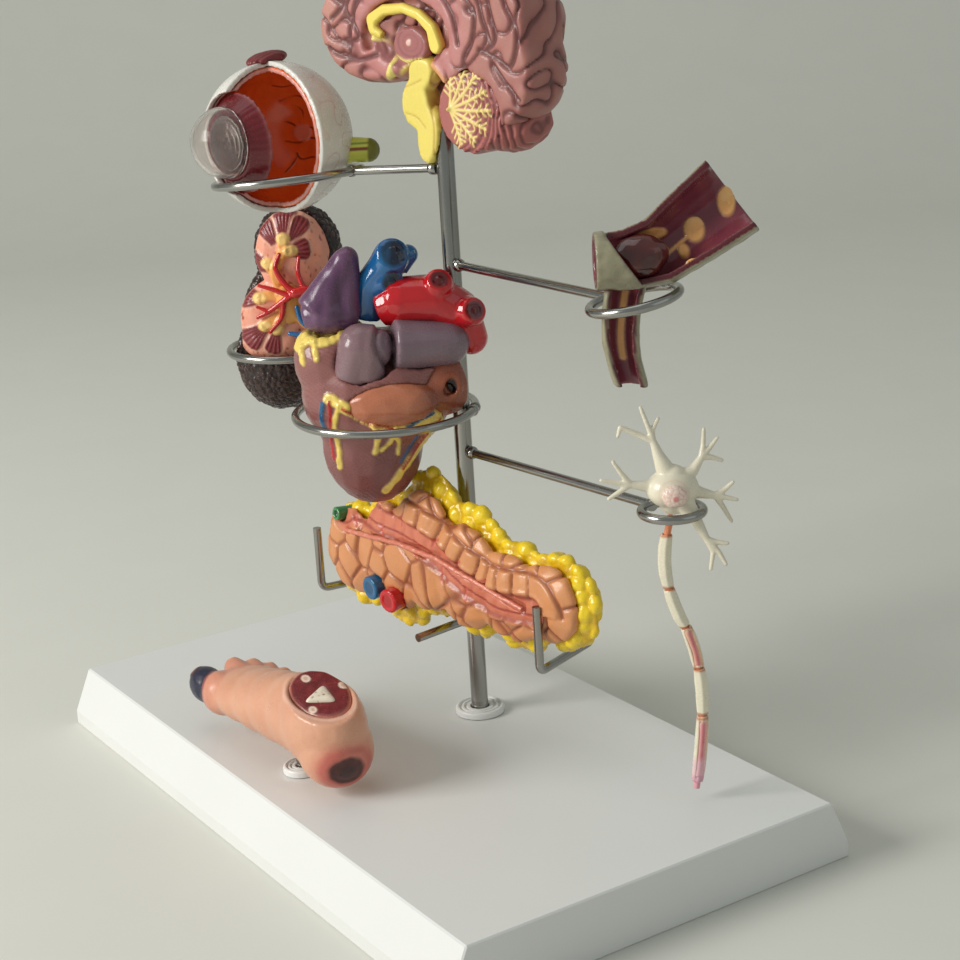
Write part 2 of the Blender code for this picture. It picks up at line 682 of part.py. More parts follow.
def pancreas():
    """Lies in the wires. Local x runs along it, local -y is its front face; the post is at the origin."""
    frame = frame_at((POST_X, POST_Y, 0.0), PANCREAS_TURN)
    fat = blob("pancreas_fat_border", PANCREAS, FATYELLOW, [
        ((-49.0, -9.2, 73.0), (15.5, 3.9, 20.5)),
        ((-25.0, -9.2, 77.0), (20.0, 3.9, 26.5)),
        ((-6.0, -9.2, 86.0), (19.0, 3.9, 28.0)),
        ((14.0, -9.2, 81.0), (20.0, 3.9, 25.0)),
        ((36.0, -9.2, 76.5), (20.0, 3.9, 20.0)),
        ((56.0, -9.2, 79.0), (17.5, 3.9, 17.0)),
    ], frame, 1.5, 400, 2)
    body = blob("pancreas_body", PANCREAS, TAN, [
        ((-49.0, -14.0, 75.5), (14.5, 4.2, 16.5)),
        ((-26.0, -14.2, 78.0), (17.0, 4.6, 21.0)),
        ((-6.0, -14.4, 84.5), (16.0, 4.8, 23.0)),
        ((14.0, -14.4, 80.0), (17.0, 4.8, 19.5)),
        ((36.0, -14.2, 77.0), (17.0, 4.6, 15.5)),
        ((54.0, -13.8, 79.0), (14.5, 4.2, 13.5)),
    ], frame, 1.5, 360, 2)
    duct_line = [(-48, -17.6, 84), (-34, -18.6, 85), (-16, -19.0, 86), (4, -19.2, 85), (24, -19.0, 81)]
    duct_line.append((46, -17.8, 76))
    duct = sweep("pancreatic_duct", PANCREAS, CORAL, duct_line, 1.2, 3, None, frame)
    vein_ends = ((-31.5, -14.0, 66.5), (-32.0, -21.0, 66.2))
    vein = bar("splenic_vein_stub", PANCREAS, BLUE, *vein_ends, 4.2, frame, None, 14)
    artery_ends = ((-22.4, -14.0, 64.0), (-22.0, -21.0, 63.6))
    artery = bar("splenic_artery_stub", PANCREAS, RED, *artery_ends, 4.2, frame, None, 14)
    bile_ends = ((-52.5, -9.5, 88.0), (-53.5, -17.5, 89.0))
    bile = bar("bile_duct_stub", PANCREAS, GREEN, *bile_ends, 2.4, frame, None, 10)
    seat(body, duct, vein, artery, bile)
    seat(fat, body, vein, artery, bile)
    rest = CRADLE_Z + WIRE_RADIUS + GAP
    for piece in (body, fat):
        cut_box(piece, (-2.2, -50, 0), (2.8, 50, rest), frame)
        cut_box(piece, (46, -50, 0), (80, 50, rest), frame)
        cut_box(piece, (-80, -50, 0), (-59, 50, rest), frame)
    hang("pancreas_lift_axis", (POST_X, POST_Y, CRADLE_Z), UPWARD, [body, fat, duct, vein, artery, bile])


def artery():
    """A length of artery laid open, with one branch hanging down through the ring."""
    frame = frame_at((ARTERY_RING[0], ARTERY_RING[1], ARTERY_RING[2]), SIDE_TURN)
    line = ((-11.0, 0.0, 11.9), (-2.0, 0.0, 11.9), (7.6, 0.0, 13.8), (18.0, 0.0, 20.8), (29.1, 0.0, 28.7))
    wall = sweep("artery_wall", ARTERY, OLIVE, line, 1.0, 7, (8.4, 8.9, 10.0, 11.4, 12.7), frame)
    add_bar(wall, (-2.0, 0.5, 9.0), (-5.1, 0.5, -25.8), 6.0, frame, 4.8, 14)
    hollow_line = ((-14.0, 0.0, 11.9),) + line[1:4] + ((31.6, 0.0, 30.5),)
    hollow = sweep("tool", CUTTERS, OLIVE, hollow_line, 1.0, 7, (6.2, 6.9, 8.0, 9.4, 10.9), frame)
    boolean(wall, hollow)
    cut_bar(wall, (-2.0, 0.5, 9.0), (-5.3, 0.5, -28.0), 4.4, frame, 3.1, 14)
    bend = Vector(line[2])
    across = (Vector(line[4]) - bend).to_track_quat("X", "Z").to_matrix().to_4x4()
    open_side = frame @ Matrix.Translation(bend) @ across @ Matrix.Rotation(math.radians(-25), 4, "X")
    cut_box(wall, (-9.5, -30, -30), (45, -2.2, 40), open_side)
    cut_box(wall, (-14, -30, -40), (12, -1.5, 4.0), frame)
    clot = blob("artery_clot", ARTERY, CLOTRED, [
        ((1.5, 0.0, 12.2), (9.0, 5.8, 6.4), (0, -10, 0)),
    ], frame, 1.0, 160)
    plaque = blob("artery_plaque", ARTERY, PLAQUE, [
        ((17.0, 7.0, 22.0), (8.0, 2.2, 4.6), (0, -35, 0)),
        ((25.0, 7.6, 28.0), (6.0, 2.2, 4.6), (0, -35, 0)),
    ], frame, 0.8, 140)
    seat(plaque, wall, clot)
    seat(clot, wall)
    hang("artery_lift_axis", ARTERY_RING[:3], UPWARD, [wall, clot, plaque])


def axon_point(height):
    """Centre of the axon at a height below the ring, negative down: it sways left, then right."""
    down = -height
    lean = 4.7 * down / 95.0
    if down < 36.0:
        sway = -3.7 * math.sin(math.pi * down / 36.0)
    else:
        sway = 4.6 * math.sin(math.pi * ((down - 36.0) / 59.0) ** 0.75)
    return (lean + sway, 0.0, height)


def neuron():
    frame = frame_at((NEURON_RING[0], NEURON_RING[1], NEURON_RING[2]), SIDE_TURN)
    cell = blob("neuron_cell_body", NEURON, BONE, [
        ((0.3, 0.0, 7.4), (9.8, 8.6, 5.2)),
        ((0.5, 0.0, 4.2), (5.0, 5.0, 5.0)),
    ], frame, 1.1, 180)
    branches = (
        ((0, 0, 9), (-3.5, 0, 20), (-3.0, 1, 29), (-4, 1, 33)),
        ((-5, 0, 8), (-13, -2, 10.5), (-18, -3, 15)),
        ((6, 0, 9), (12, 2, 14.5), (13.5, 3, 22)),
        ((7, 0, 7), (14, -1, 6), (19, -2, 2)),
        ((6, -4, 6.5), (13, -7.5, 3.4), (15, -9, -7)),
        ((-2, 3, 9), (-8, 6, 19), (-11, 7, 21)),
    )
    for path in branches:
        for start, end in zip(path, path[1:]):
            thick = 1.9 if start is path[0] else 1.25
            add_bar(cell, start, end, thick, frame, thick * 0.66, 6)
    nucleus = blob("neuron_nucleus", NEURON, PALEPINK, [
        ((0.2, -8.0, 7.0), (4.0, 2.2, 3.6)),
    ], frame, 0.8, 120)
    seat(cell, nucleus)
    core_path = [axon_point(height) for height in (-1.5, -10, -19, -28, -37, -46, -55, -64, -73, -82, -93)]
    core = sweep("neuron_axon", NEURON, PALEPINK, core_path, 1.0, 3, None, frame)
    seat(cell, core)
    pieces = [cell, nucleus, core]
    ends = ((-7.5, -24.5), (-25.3, -37.5), (-38.3, -51.5), (-52.3, -67.5), (-68.3, -90.5))
    for index, (top, bottom) in enumerate(ends):
        steps = [axon_point(top + (bottom - top) * part / 4) for part in range(5)]
        taper = (0.85, 1.0, 1.0, 1.0, 0.85)
        sleeve = sweep(f"myelin_sheath_{index + 1}", NEURON, BONE, steps, 2.1, 3, taper, frame)
        seat(sleeve, core)
        pieces.append(sleeve)
    hang("neuron_turn_axis", NEURON_RING[:3], UPWARD, pieces)


def foot():
    """A cut foot, toes towards -x. Local origin is on the peg's axis at the board's underside."""
    frame = frame_at((*FOOT_PEG, 0.0), FOOT_TURN)
    body = blob("foot_body", FOOT, SKIN, [
        ((22.0, 1.0, 36.5), (12.5, 12.0, 12.5)),
        ((15.0, 0.5, 44.0), (18.5, 12.6, 16.5)),
        ((-4.0, 0.5, 42.0), (22.0, 12.0, 11.5), (0, -6, 0)),
        ((-26.0, 1.0, 39.0), (19.0, 12.5, 8.6)),
        ((-42.0, 2.0, 37.0), (13.0, 12.5, 7.2)),
        ((-53.0, -6.0, 36.0), (8.0, 5.6, 6.2)),
        ((-50.5, 4.0, 37.5), (6.5, 4.2, 4.8)),
        ((-47.0, 10.5, 36.5), (6.5, 4.4, 4.4)),
    ], frame, 1.7, 440)
    lean = Matrix.Rotation(math.radians(15), 4, "Y") @ Matrix.Rotation(math.radians(12), 4, "X")
    cut_plane = frame @ Matrix.Translation((15.5, 0.5, 54.3)) @ lean
    cut_box(body, (-40, -40, 0.0), (40, 40, 40), cut_plane)
    cut_ball(body, (0.0, 0.0, -2.0), (14.6, 10.0, 4.0), cut_plane)
    section = blob("ankle_section", FOOT, MAROON, [((0.0, 0.0, -1.7), (13.8, 9.3, 3.4))], cut_plane, 0.8, 140)
    cut_box(section, (-40, -40, -0.3), (40, 40, 40), cut_plane)
    bone = bar("ankle_bone", FOOT, BONE, (1.5, -0.4, -4.0), (1.5, -0.4, 0.6), 4.8, cut_plane, 4.8, 3)
    round_off = bone.modifiers.new("edges", "BEVEL")
    round_off.width = 1.2 * MM
    round_off.segments = 2
    round_off.limit_method = "ANGLE"
    bake(bone)
    tidy(bone)
    seat(section, bone)
    seat(body, section, bone)
    cut_bar(body, (*FOOT_PEG, 10), (*FOOT_PEG, 38.6), 2.0 + GAP, None, None, 16)
    hang("foot_turn_axis", (*FOOT_PEG, BOARD_HEIGHT), UPWARD, [body, section, bone])


clear_scene()
STAND = new_collection("organ_display_stand")
BRAIN = new_collection("brain_model")
EYE = new_collection("eye_model")
KIDNEY = new_collection("kidney_model")
HEART = new_collection("heart_model")
PANCREAS = new_collection("pancreas_model")
ARTERY = new_collection("artery_model")
NEURON = new_collection("neuron_model")
FOOT = new_collection("foot_model")
CUTTERS = new_collection("cutters", helper=True)

STEEL = material("polished_steel", (0.72, 0.72, 0.70), 0.22, 1.0)
ZINC = material("zinc_screw", (0.60, 0.60, 0.58), 0.4, 1.0)
WHITE = material("white_board", (0.82, 0.81, 0.79), 0.4)
PLASTIC = material("white_plastic", (0.86, 0.86, 0.84), 0.35)
CREAM = material("brain_stem_cream", (0.85, 0.74, 0.30))
YELLOW = material("callosum_yellow", (0.85, 0.72, 0.25))
PINK = material("cortex_pink", (0.50, 0.22, 0.21))
LILAC = material("cerebellum_pink", (0.50, 0.25, 0.25))
MAUVE = material("thalamus_mauve", (0.42, 0.20, 0.20))
IVORY = material("sclera_white", (0.78, 0.76, 0.72))
ORANGE = material("choroid_orange", (0.62, 0.07, 0.01))
MAROON = material("maroon", (0.16, 0.015, 0.015))
GLASS = material("clear_resin", (0.85, 0.75, 0.72), 0.08, 0.0, 0.35)
LIME = material("nerve_lime", (0.62, 0.66, 0.12))
BROWN = material("capsule_brown", (0.07, 0.025, 0.02), 0.5)
SALMON = material("cortex_salmon", (0.74, 0.32, 0.24))
AMBER = material("pelvis_amber", (0.85, 0.50, 0.16))
RED = material("artery_red", (0.50, 0.02, 0.02), 0.25)
BLUE = material("vein_blue", (0.01, 0.08, 0.22), 0.25)
ROSEWOOD = material("ventricle_mauve", (0.22, 0.09, 0.09))
GREYMAUVE = material("trunk_grey_mauve", (0.22, 0.15, 0.18))
TAN = material("tan_tissue", (0.52, 0.24, 0.12))
PURPLE = material("auricle_purple", (0.12, 0.06, 0.10))
FATYELLOW = material("fat_yellow", (0.85, 0.65, 0.05))
CORAL = material("duct_coral", (0.62, 0.20, 0.12))
GREEN = material("bile_green", (0.02, 0.18, 0.06))
OLIVE = material("artery_olive", (0.30, 0.28, 0.20))
CLOTRED = material("clot_brown", (0.10, 0.015, 0.01), 0.2)
PLAQUE = material("plaque_cream", (0.83, 0.55, 0.22))
BONE = material("neuron_cream", (0.80, 0.76, 0.66))
PALEPINK = material("nucleus_pink", (0.80, 0.52, 0.50))
SKIN = material("foot_skin", (0.68, 0.36, 0.26))

stand()
brain()
eye()
kidney()
heart()
pancreas()
artery()
neuron()
foot()
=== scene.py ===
import math

import bmesh
import bpy
import numpy as np
from bpy.props import FloatProperty, FloatVectorProperty, PointerProperty
from mathutils import Matrix, Vector, noise


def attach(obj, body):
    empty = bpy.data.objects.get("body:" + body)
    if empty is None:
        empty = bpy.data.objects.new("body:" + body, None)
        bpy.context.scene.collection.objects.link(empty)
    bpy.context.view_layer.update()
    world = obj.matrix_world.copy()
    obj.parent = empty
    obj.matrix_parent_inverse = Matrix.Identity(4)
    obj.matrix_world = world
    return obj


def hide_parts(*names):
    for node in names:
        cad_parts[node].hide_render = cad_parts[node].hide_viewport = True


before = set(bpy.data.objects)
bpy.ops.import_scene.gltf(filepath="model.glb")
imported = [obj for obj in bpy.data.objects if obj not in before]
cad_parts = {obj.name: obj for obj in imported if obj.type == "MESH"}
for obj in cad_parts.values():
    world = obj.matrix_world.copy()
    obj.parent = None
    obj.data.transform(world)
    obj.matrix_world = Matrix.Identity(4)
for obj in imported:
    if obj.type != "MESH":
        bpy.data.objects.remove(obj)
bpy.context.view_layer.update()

bl_info = {
    "name": "Organ Display Stand",
    "version": (1, 0, 0),
    "blender": (4, 5, 0),
    "location": "3D View > Sidebar > Organ Stand",
    "description": "Casts, paints and wires a desk stand of eight small organ models",
    "category": "Object",
}

MM = 0.001
PAINT_BUMP = 0.00012
STEEL_BUMP = 0.00008
GLOSS_DROP = -0.28

# Stand, in millimetres
POST = (0.9, 24.5)
POST_RADIUS = 3.0
POST_TOP = 229.0
BOARD_TOP = 21.0
SEAM = 0.35
PEG = (3.0, -49.0)
EYE_RING = (-50.0, -7.5, 212.0, 25.2)
KIDNEY_RING = (-87.4, 6.5, 144.0, 22.0)
HEART_RING = (-17.0, 5.0, 133.0, 31.0)
ARTERY_RING = (105.3, 20.8, 186.3, 13.3)
NEURON_RING = (103.0, 34.0, 118.3, 9.4)
CRADLE_Z = 57.0
CRADLES = {
    "pancreas_cradle_left": ((-60.5, 17.5), (-62.8, -1.6), 80.7),
    "pancreas_cradle_right": ((46.6, 42.2), (57.8, 12.8), 79.7),
}
CRADLE_STUB = (4.8, -1.4)

# Each organ's own axes: centre in millimetres and turn about +Z in degrees
SIDE_TURN = 57.45
BRAIN = ((*POST, 217.0), 14.0)
EYE = ((-51.4, -9.6, 225.7), 9.5)
KIDNEY = (KIDNEY_RING[:3], SIDE_TURN)
HEART = ((-17.0, 5.0, 145.0), SIDE_TURN)
PANCREAS = ((*POST, 0.0), 8.0)
ARTERY = (ARTERY_RING[:3], SIDE_TURN)
NEURON = (NEURON_RING[:3], SIDE_TURN)
FOOT = ((*PEG, 0.0), 2.0)
ANKLE = (15.5, 0.5, 54.3)
ANKLE_LEAN = Matrix.Rotation(math.radians(15), 4, "Y") @ Matrix.Rotation(math.radians(12), 4, "X")


# View of the whole stand: place in metres, turn in degrees, focal length in the studio settings
CAMERA_PLACE = (0.55597, -0.32257, 0.30536)
CAMERA_TURN = (73.1356, 3.3590, 56.5355)
VIEW_ACROSS = (0.538, 0.843, 0.0)
VIEW_AWAY = (-0.843, 0.538, 0.0)


# ---- shapes ----

def ink(red, green, blue):
    """A paint named as it looks, in steps of 0 to 255, turned into linear light."""
    steps = np.array((red, green, blue)) / 255
    return np.where(steps <= 0.04045, steps / 12.92, ((steps + 0.055) / 1.055) ** 2.4)


def show(item):
    """Puts an object into the scene."""
    bpy.context.scene.collection.objects.link(item)
    return item


def baked(item):
    """Swaps in the mesh that the object's modifiers make."""
    bpy.context.view_layer.update()
    graph = bpy.context.evaluated_depsgraph_get()
    mesh = bpy.data.meshes.new_from_object(item.evaluated_get(graph))
    item.modifiers.clear()
    item.data = mesh
    mesh.materials.clear()
    return item


def skin_over(item, voxel, rounds):
    """Draws an even skin of small faces over an object and eases its facets away."""
    skin = item.modifiers.new("skin", "REMESH")
    skin.mode = "VOXEL"
    skin.voxel_size = voxel * MM
    ease = item.modifiers.new("ease", "SMOOTH")
    ease.factor = 0.5
    ease.iterations = rounds
    return baked(item)


def from_node(node, voxel, rounds):
    """An even skin over a copy of a CAD node's mesh."""
    copy = bpy.data.objects.new("cast_" + node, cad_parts[node].data.copy())
    return skin_over(show(copy), voxel, rounds)


def from_parts(name, place, balls, limbs, voxel, rounds):
    """One skin over balls (centre, radii) and limbs (start, end, radius, far radius)."""
    bm = bmesh.new()
    matrix = organ_matrix(place)
    for centre, radii in balls:
        made = bmesh.ops.create_uvsphere(bm, u_segments=32, v_segments=20, radius=1.0)
        bmesh.ops.scale(bm, vec=radii, verts=made["verts"])
        bmesh.ops.translate(bm, vec=centre, verts=made["verts"])
    for start, end, radius, far_radius in limbs:
        along = Vector(end) - Vector(start)
        spin = along.to_track_quat("Z", "Y").to_matrix().to_4x4()
        where = Matrix.Translation((Vector(start) + Vector(end)) / 2) @ spin
        bmesh.ops.create_cone(bm, cap_ends=True, segments=14, radius1=radius, radius2=far_radius,
                              depth=along.length, matrix=where)
        made = bmesh.ops.create_uvsphere(bm, u_segments=12, v_segments=8, radius=far_radius)
        bmesh.ops.translate(bm, vec=end, verts=made["verts"])
    bmesh.ops.scale(bm, vec=(MM, MM, MM), verts=bm.verts)
    bmesh.ops.transform(bm, matrix=matrix, verts=bm.verts)
    mesh = bpy.data.meshes.new(name)
    bm.to_mesh(mesh)
    bm.free()
    return skin_over(show(bpy.data.objects.new(name, mesh)), voxel, rounds)


def tapering(line, first, last):
    """Limbs along a curved line, their radius going from the first towards the last."""
    drawn = curved(line, 4)
    limbs = []
    for index, (start, end) in enumerate(zip(drawn, drawn[1:])):
        share = index / len(drawn)
        far_share = share + 1 / len(drawn)
        limbs.append((start, end, first + (last - first) * share, first + (last - first) * far_share))
    return limbs


def organ_matrix(place):
    """From an organ's own axes in metres to the stand's."""
    centre, turn = place
    return Matrix.Translation(Vector(centre) * MM) @ Matrix.Rotation(math.radians(turn), 4, "Z")


def grain(points, size, seed=0.0):
    """Smooth noise of about -1 to 1 at each point; size is its grain in millimetres."""
    return np.array([noise.noise(Vector(spot)) for spot in points / size + seed])


def cells(points, size, seed=0.0):
    """Distances, in cell sizes, to the nearest seed point and from there to the border with the next."""
    found = np.array([noise.voronoi(Vector(spot))[0][:2] for spot in points / size + seed])
    return found[:, 0], found[:, 1] - found[:, 0]


def reach(points, path):
    """Distance from each point to a line of straight runs, and how far along it that is."""
    best = np.full(len(points), 1e9)
    along = np.zeros(len(points))
    done = 0.0
    for start, end in zip(path, path[1:]):
        start = np.array(start, float)
        run = np.array(end, float) - start
        length = np.linalg.norm(run)
        part = np.clip((points - start) @ run / length**2, 0, 1)
        apart = np.linalg.norm(points - start - part[:, None] * run, axis=1)
        nearer = apart < best
        best = np.where(nearer, apart, best)
        along = np.where(nearer, done + part * length, along)
        done += length
    return best, along


def within(distance, edge, soft=0.5):
    """1 inside an edge and 0 outside it, with a soft border."""
    return np.clip((edge - distance) / soft + 0.5, 0, 1)


def band(value, width):
    """1 where the value is zero, falling away over a width."""
    return np.exp(-((value / width) ** 2))


def curved(path, steps=6):
    """The path with its corners drawn round, as a Catmull-Rom curve through its points."""
    points = [np.array(spot, float) for spot in path]
    points = [2 * points[0] - points[1]] + points + [2 * points[-1] - points[-2]]
    drawn = []
    for a, b, c, d in zip(points, points[1:], points[2:], points[3:]):
        for step in range(steps):
            t = step / steps
            drawn.append(0.5 * (2 * b + (c - a) * t + (2 * a - 5 * b + 4 * c - d) * t**2
                                + (3 * b - a - 3 * c + d) * t**3))
    return drawn + [points[-2]]


class Cast:
    """A cast piece while it is sculpted and painted, in the millimetres of its organ's own axes."""

    def __init__(self, item, place, base):
        matrix = organ_matrix(place)
        self.item = item
        self.turn = np.array(matrix.to_3x3())
        self.origin = np.array(matrix.translation)
        self.read()
        self.tint = np.tile(np.array(base, float), (len(self.points), 1))
        self.gloss = np.zeros(len(self.points))

    def read(self):
        mesh = self.item.data
        values = np.empty(len(mesh.vertices) * 3, np.float32)
        mesh.vertices.foreach_get("co", values)
        self.points = (values.reshape(-1, 3).astype(float) - self.origin) @ self.turn / MM
        mesh.vertex_normals.foreach_get("vector", values)
        self.normals = values.reshape(-1, 3).astype(float) @ self.turn

    def settle(self):
        """Writes the points to the mesh and reads its normals again."""
        mesh = self.item.data
        world = self.points @ self.turn.T * MM + self.origin
        mesh.vertices.foreach_set("co", world.astype(np.float32).ravel())
        mesh.update()
        self.read()

    @property
    def front(self):
        """Points as seen from the organ's display side: across and up."""
        return self.points[:, [0, 2]]

    def push(self, height):
        """Moves each point out along its normal by a height in millimetres."""
        self.points = self.points + self.normals * np.asarray(height)[..., None]

    def paint(self, mask, colour):
        """Lays a colour over the tint, as thickly as the mask says."""
        mask = np.asarray(mask)[:, None]
        self.tint = self.tint * (1 - mask) + np.array(colour) * mask

    def cloud(self, size, share, colour, seed=0.0, sign=1):
        """Soft patches of a colour on the high side of a grain, or on its low side with sign -1."""
        self.paint(np.clip(sign * grain(self.points, size, seed), 0, 1) * share, colour)

    def stroke(self, path, width, colour, height=0.0, where=1.0, soft=0.5, flat=True):
        """A painted line of that width, raised or sunk by a height."""
        spots = self.front if flat else self.points
        mask = within(reach(spots, curved(path))[0], width / 2, soft) * where
        self.paint(mask, colour)
        self.push(mask * height)

    def spot(self, centre, radii, colour, height=0.0, soft=0.5, where=1.0):
        """An oval patch of paint; a two-number centre is on the display side."""
        spots = self.front if len(centre) == 2 else self.points
        radii = np.array(radii, float)
        away = np.linalg.norm((spots - np.array(centre)) / radii, axis=1)
        mask = within(away, 1.0, soft / radii.mean()) * where
        self.paint(mask, colour)
        self.push(mask * height)

    def finish(self, finish, body, slot, *nodes):
        """Stores tint and gloss on the mesh, gives it its material and hands it over."""
        self.settle()
        mesh = self.item.data
        layer = mesh.color_attributes.new("tint", "FLOAT_COLOR", "POINT")
        colours = np.column_stack((np.clip(self.tint, 0, 1), np.clip(self.gloss, 0, 1)))
        layer.data.foreach_set("color", colours.astype(np.float32).ravel())
        place_piece(self.item, finish, body, nodes)


def place_piece(item, finish, body, nodes):
    """Shades a piece and ties it to its body, its CAD nodes and its material slot."""
    if item.type == "MESH":
        item.data.shade_smooth()
    item.data.materials.append(finish)
    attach(item, body)
    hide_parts(*nodes)
    return item


# ---- finishes ----

class Wiring:
    """A node tree being wired up, with short calls for what every finish needs."""

    def __init__(self, tree):
        self.tree = tree

    def add(self, kind, **settings):
        node = self.tree.nodes.new(kind)
        for name, value in settings.items():
            if name in node.inputs:
                node.inputs[name].default_value = value
            else:
                setattr(node, name, value)
        return node

    def join(self, source, target):
        self.tree.links.new(source, target)


def new_group(name, inputs, outputs):
    """An empty shader group with named inputs (label, kind, value) and outputs (label, kind)."""
    tree = bpy.data.node_groups.new(name, "ShaderNodeTree")
    for label, kind, value in inputs:
        socket = tree.interface.new_socket(label, in_out="INPUT", socket_type="NodeSocket" + kind)
        socket.default_value = value
    for label, kind in outputs:
        tree.interface.new_socket(label, in_out="OUTPUT", socket_type="NodeSocket" + kind)
    wiring = Wiring(tree)
    return tree, wiring, wiring.add("NodeGroupInput"), wiring.add("NodeGroupOutput")


def hand_paint_group():
    """Brushed paint over a resin cast: uneven colour, gloss that comes and goes, fine pits."""
    if "hand_paint" in bpy.data.node_groups:
        return bpy.data.node_groups["hand_paint"]
    tree, wires, given, result = new_group(
        "hand_paint",
        [("Tint", "Color", (0.5, 0.5, 0.5, 1)), ("Gloss", "Float", 0.0), ("Mottle", "Float", 0.15),
         ("Patch Scale", "Float", 160.0), ("Grain Scale", "Float", 1500.0), ("Roughness", "Float", 0.45)],
        [("Color", "Color"), ("Roughness", "Float"), ("Height", "Float")],
    )
    place = wires.add("ShaderNodeTexCoord")
    patch = wires.add("ShaderNodeTexNoise", Detail=4.0, Roughness=0.6)
    fine = wires.add("ShaderNodeTexNoise", Detail=2.0)
    wires.join(place.outputs["Object"], patch.inputs["Vector"])
    wires.join(place.outputs["Object"], fine.inputs["Vector"])
    wires.join(given.outputs["Patch Scale"], patch.inputs["Scale"])
    wires.join(given.outputs["Grain Scale"], fine.inputs["Scale"])
    both = wires.add("ShaderNodeMath", operation="ADD")
    wires.join(patch.outputs["Fac"], both.inputs[0])
    wires.join(fine.outputs["Fac"], both.inputs[1])
    centred = wires.add("ShaderNodeMath", operation="SUBTRACT")
    centred.inputs[1].default_value = 1.0
    wires.join(both.outputs[0], centred.inputs[0])
    swing = wires.add("ShaderNodeMath", operation="MULTIPLY_ADD")
    wires.join(centred.outputs[0], swing.inputs[0])
    wires.join(given.outputs["Mottle"], swing.inputs[1])
    swing.inputs[2].default_value = 1.0
    shade = wires.add("ShaderNodeVectorMath", operation="SCALE")
    wires.join(given.outputs["Tint"], shade.inputs[0])
    wires.join(swing.outputs[0], shade.inputs["Scale"])
    wires.join(shade.outputs[0], result.inputs["Color"])
    dulled = wires.add("ShaderNodeMath", operation="MULTIPLY_ADD")
    wires.join(given.outputs["Gloss"], dulled.inputs[0])
    dulled.inputs[1].default_value = GLOSS_DROP
    wires.join(given.outputs["Roughness"], dulled.inputs[2])
    uneven = wires.add("ShaderNodeMath", operation="MULTIPLY_ADD", use_clamp=True)
    wires.join(centred.outputs[0], uneven.inputs[0])
    uneven.inputs[1].default_value = 0.25
    wires.join(dulled.outputs[0], uneven.inputs[2])
    wires.join(uneven.outputs[0], result.inputs["Roughness"])
    wires.join(both.outputs[0], result.inputs["Height"])
    return tree


def surface_grain_group():
    """Faint drawing lines and haze on bare metal or moulded plastic."""
    if "surface_grain" in bpy.data.node_groups:
        return bpy.data.node_groups["surface_grain"]
    tree, wires, given, result = new_group(
        "surface_grain",
        [("Color", "Color", (0.5, 0.5, 0.5, 1)), ("Stretch", "Vector", (1, 1, 1)), ("Scale", "Float", 400.0),
         ("Change", "Float", 0.1), ("Roughness", "Float", 0.3), ("Haze", "Float", 0.1)],
        [("Color", "Color"), ("Roughness", "Float"), ("Height", "Float")],
    )
    place = wires.add("ShaderNodeTexCoord")
    drawn = wires.add("ShaderNodeVectorMath", operation="MULTIPLY")
    wires.join(place.outputs["Object"], drawn.inputs[0])
    wires.join(given.outputs["Stretch"], drawn.inputs[1])
    fine = wires.add("ShaderNodeTexNoise", Detail=6.0, Roughness=0.6)
    wires.join(drawn.outputs[0], fine.inputs["Vector"])
    wires.join(given.outputs["Scale"], fine.inputs["Scale"])
    wide = wires.add("ShaderNodeTexNoise", Scale=22.0, Detail=3.0)
    wires.join(place.outputs["Object"], wide.inputs["Vector"])
    centred = wires.add("ShaderNodeMath", operation="SUBTRACT")
    wires.join(wide.outputs["Fac"], centred.inputs[0])
    centred.inputs[1].default_value = 0.5
    swing = wires.add("ShaderNodeMath", operation="MULTIPLY_ADD")
    wires.join(centred.outputs[0], swing.inputs[0])
    wires.join(given.outputs["Change"], swing.inputs[1])
    swing.inputs[2].default_value = 1.0
    shade = wires.add("ShaderNodeVectorMath", operation="SCALE")
    wires.join(given.outputs["Color"], shade.inputs[0])
    wires.join(swing.outputs[0], shade.inputs["Scale"])
    wires.join(shade.outputs[0], result.inputs["Color"])
    haze = wires.add("ShaderNodeMath", operation="MULTIPLY_ADD", use_clamp=True)
    wires.join(fine.outputs["Fac"], haze.inputs[0])
    wires.join(given.outputs["Haze"], haze.inputs[1])
    wires.join(given.outputs["Roughness"], haze.inputs[2])
    wires.join(haze.outputs[0], result.inputs["Roughness"])
    wires.join(fine.outputs["Fac"], result.inputs["Height"])
    return tree


def new_finish(name, tree, relief, relief_depth, **settings):
    """A Principled material with an effect group feeding its colour, roughness and bump."""
    made = bpy.data.materials.new(name)
    made.use_nodes = True
    wires = Wiring(made.node_tree)
    shader = made.node_tree.nodes["Principled BSDF"]
    for label, value in settings.items():
        shader.inputs[label.replace("_", " ").title()].default_value = value
    effect = wires.add("ShaderNodeGroup", node_tree=tree)
    bump = wires.add("ShaderNodeBump", Strength=relief, Distance=relief_depth)
    wires.join(effect.outputs["Color"], shader.inputs["Base Color"])
    wires.join(effect.outputs["Roughness"], shader.inputs["Roughness"])
    wires.join(effect.outputs["Height"], bump.inputs["Height"])
    wires.join(bump.outputs["Normal"], shader.inputs["Normal"])
    return made, wires, effect


def painted(name, roughness=0.42, mottle=0.16, patch=160.0, relief=0.25, coat=0.12):
    """Satin hand paint over a cast, coloured by the strokes laid on the mesh."""
    made, wires, effect = new_finish(name, hand_paint_group(), relief, PAINT_BUMP, coat_weight=coat)
    strokes = wires.add("ShaderNodeAttribute", attribute_name="tint")
    wires.join(strokes.outputs["Color"], effect.inputs["Tint"])
    wires.join(strokes.outputs["Alpha"], effect.inputs["Gloss"])
    effect.inputs["Roughness"].default_value = roughness
    effect.inputs["Mottle"].default_value = mottle
    effect.inputs["Patch Scale"].default_value = patch
    return made


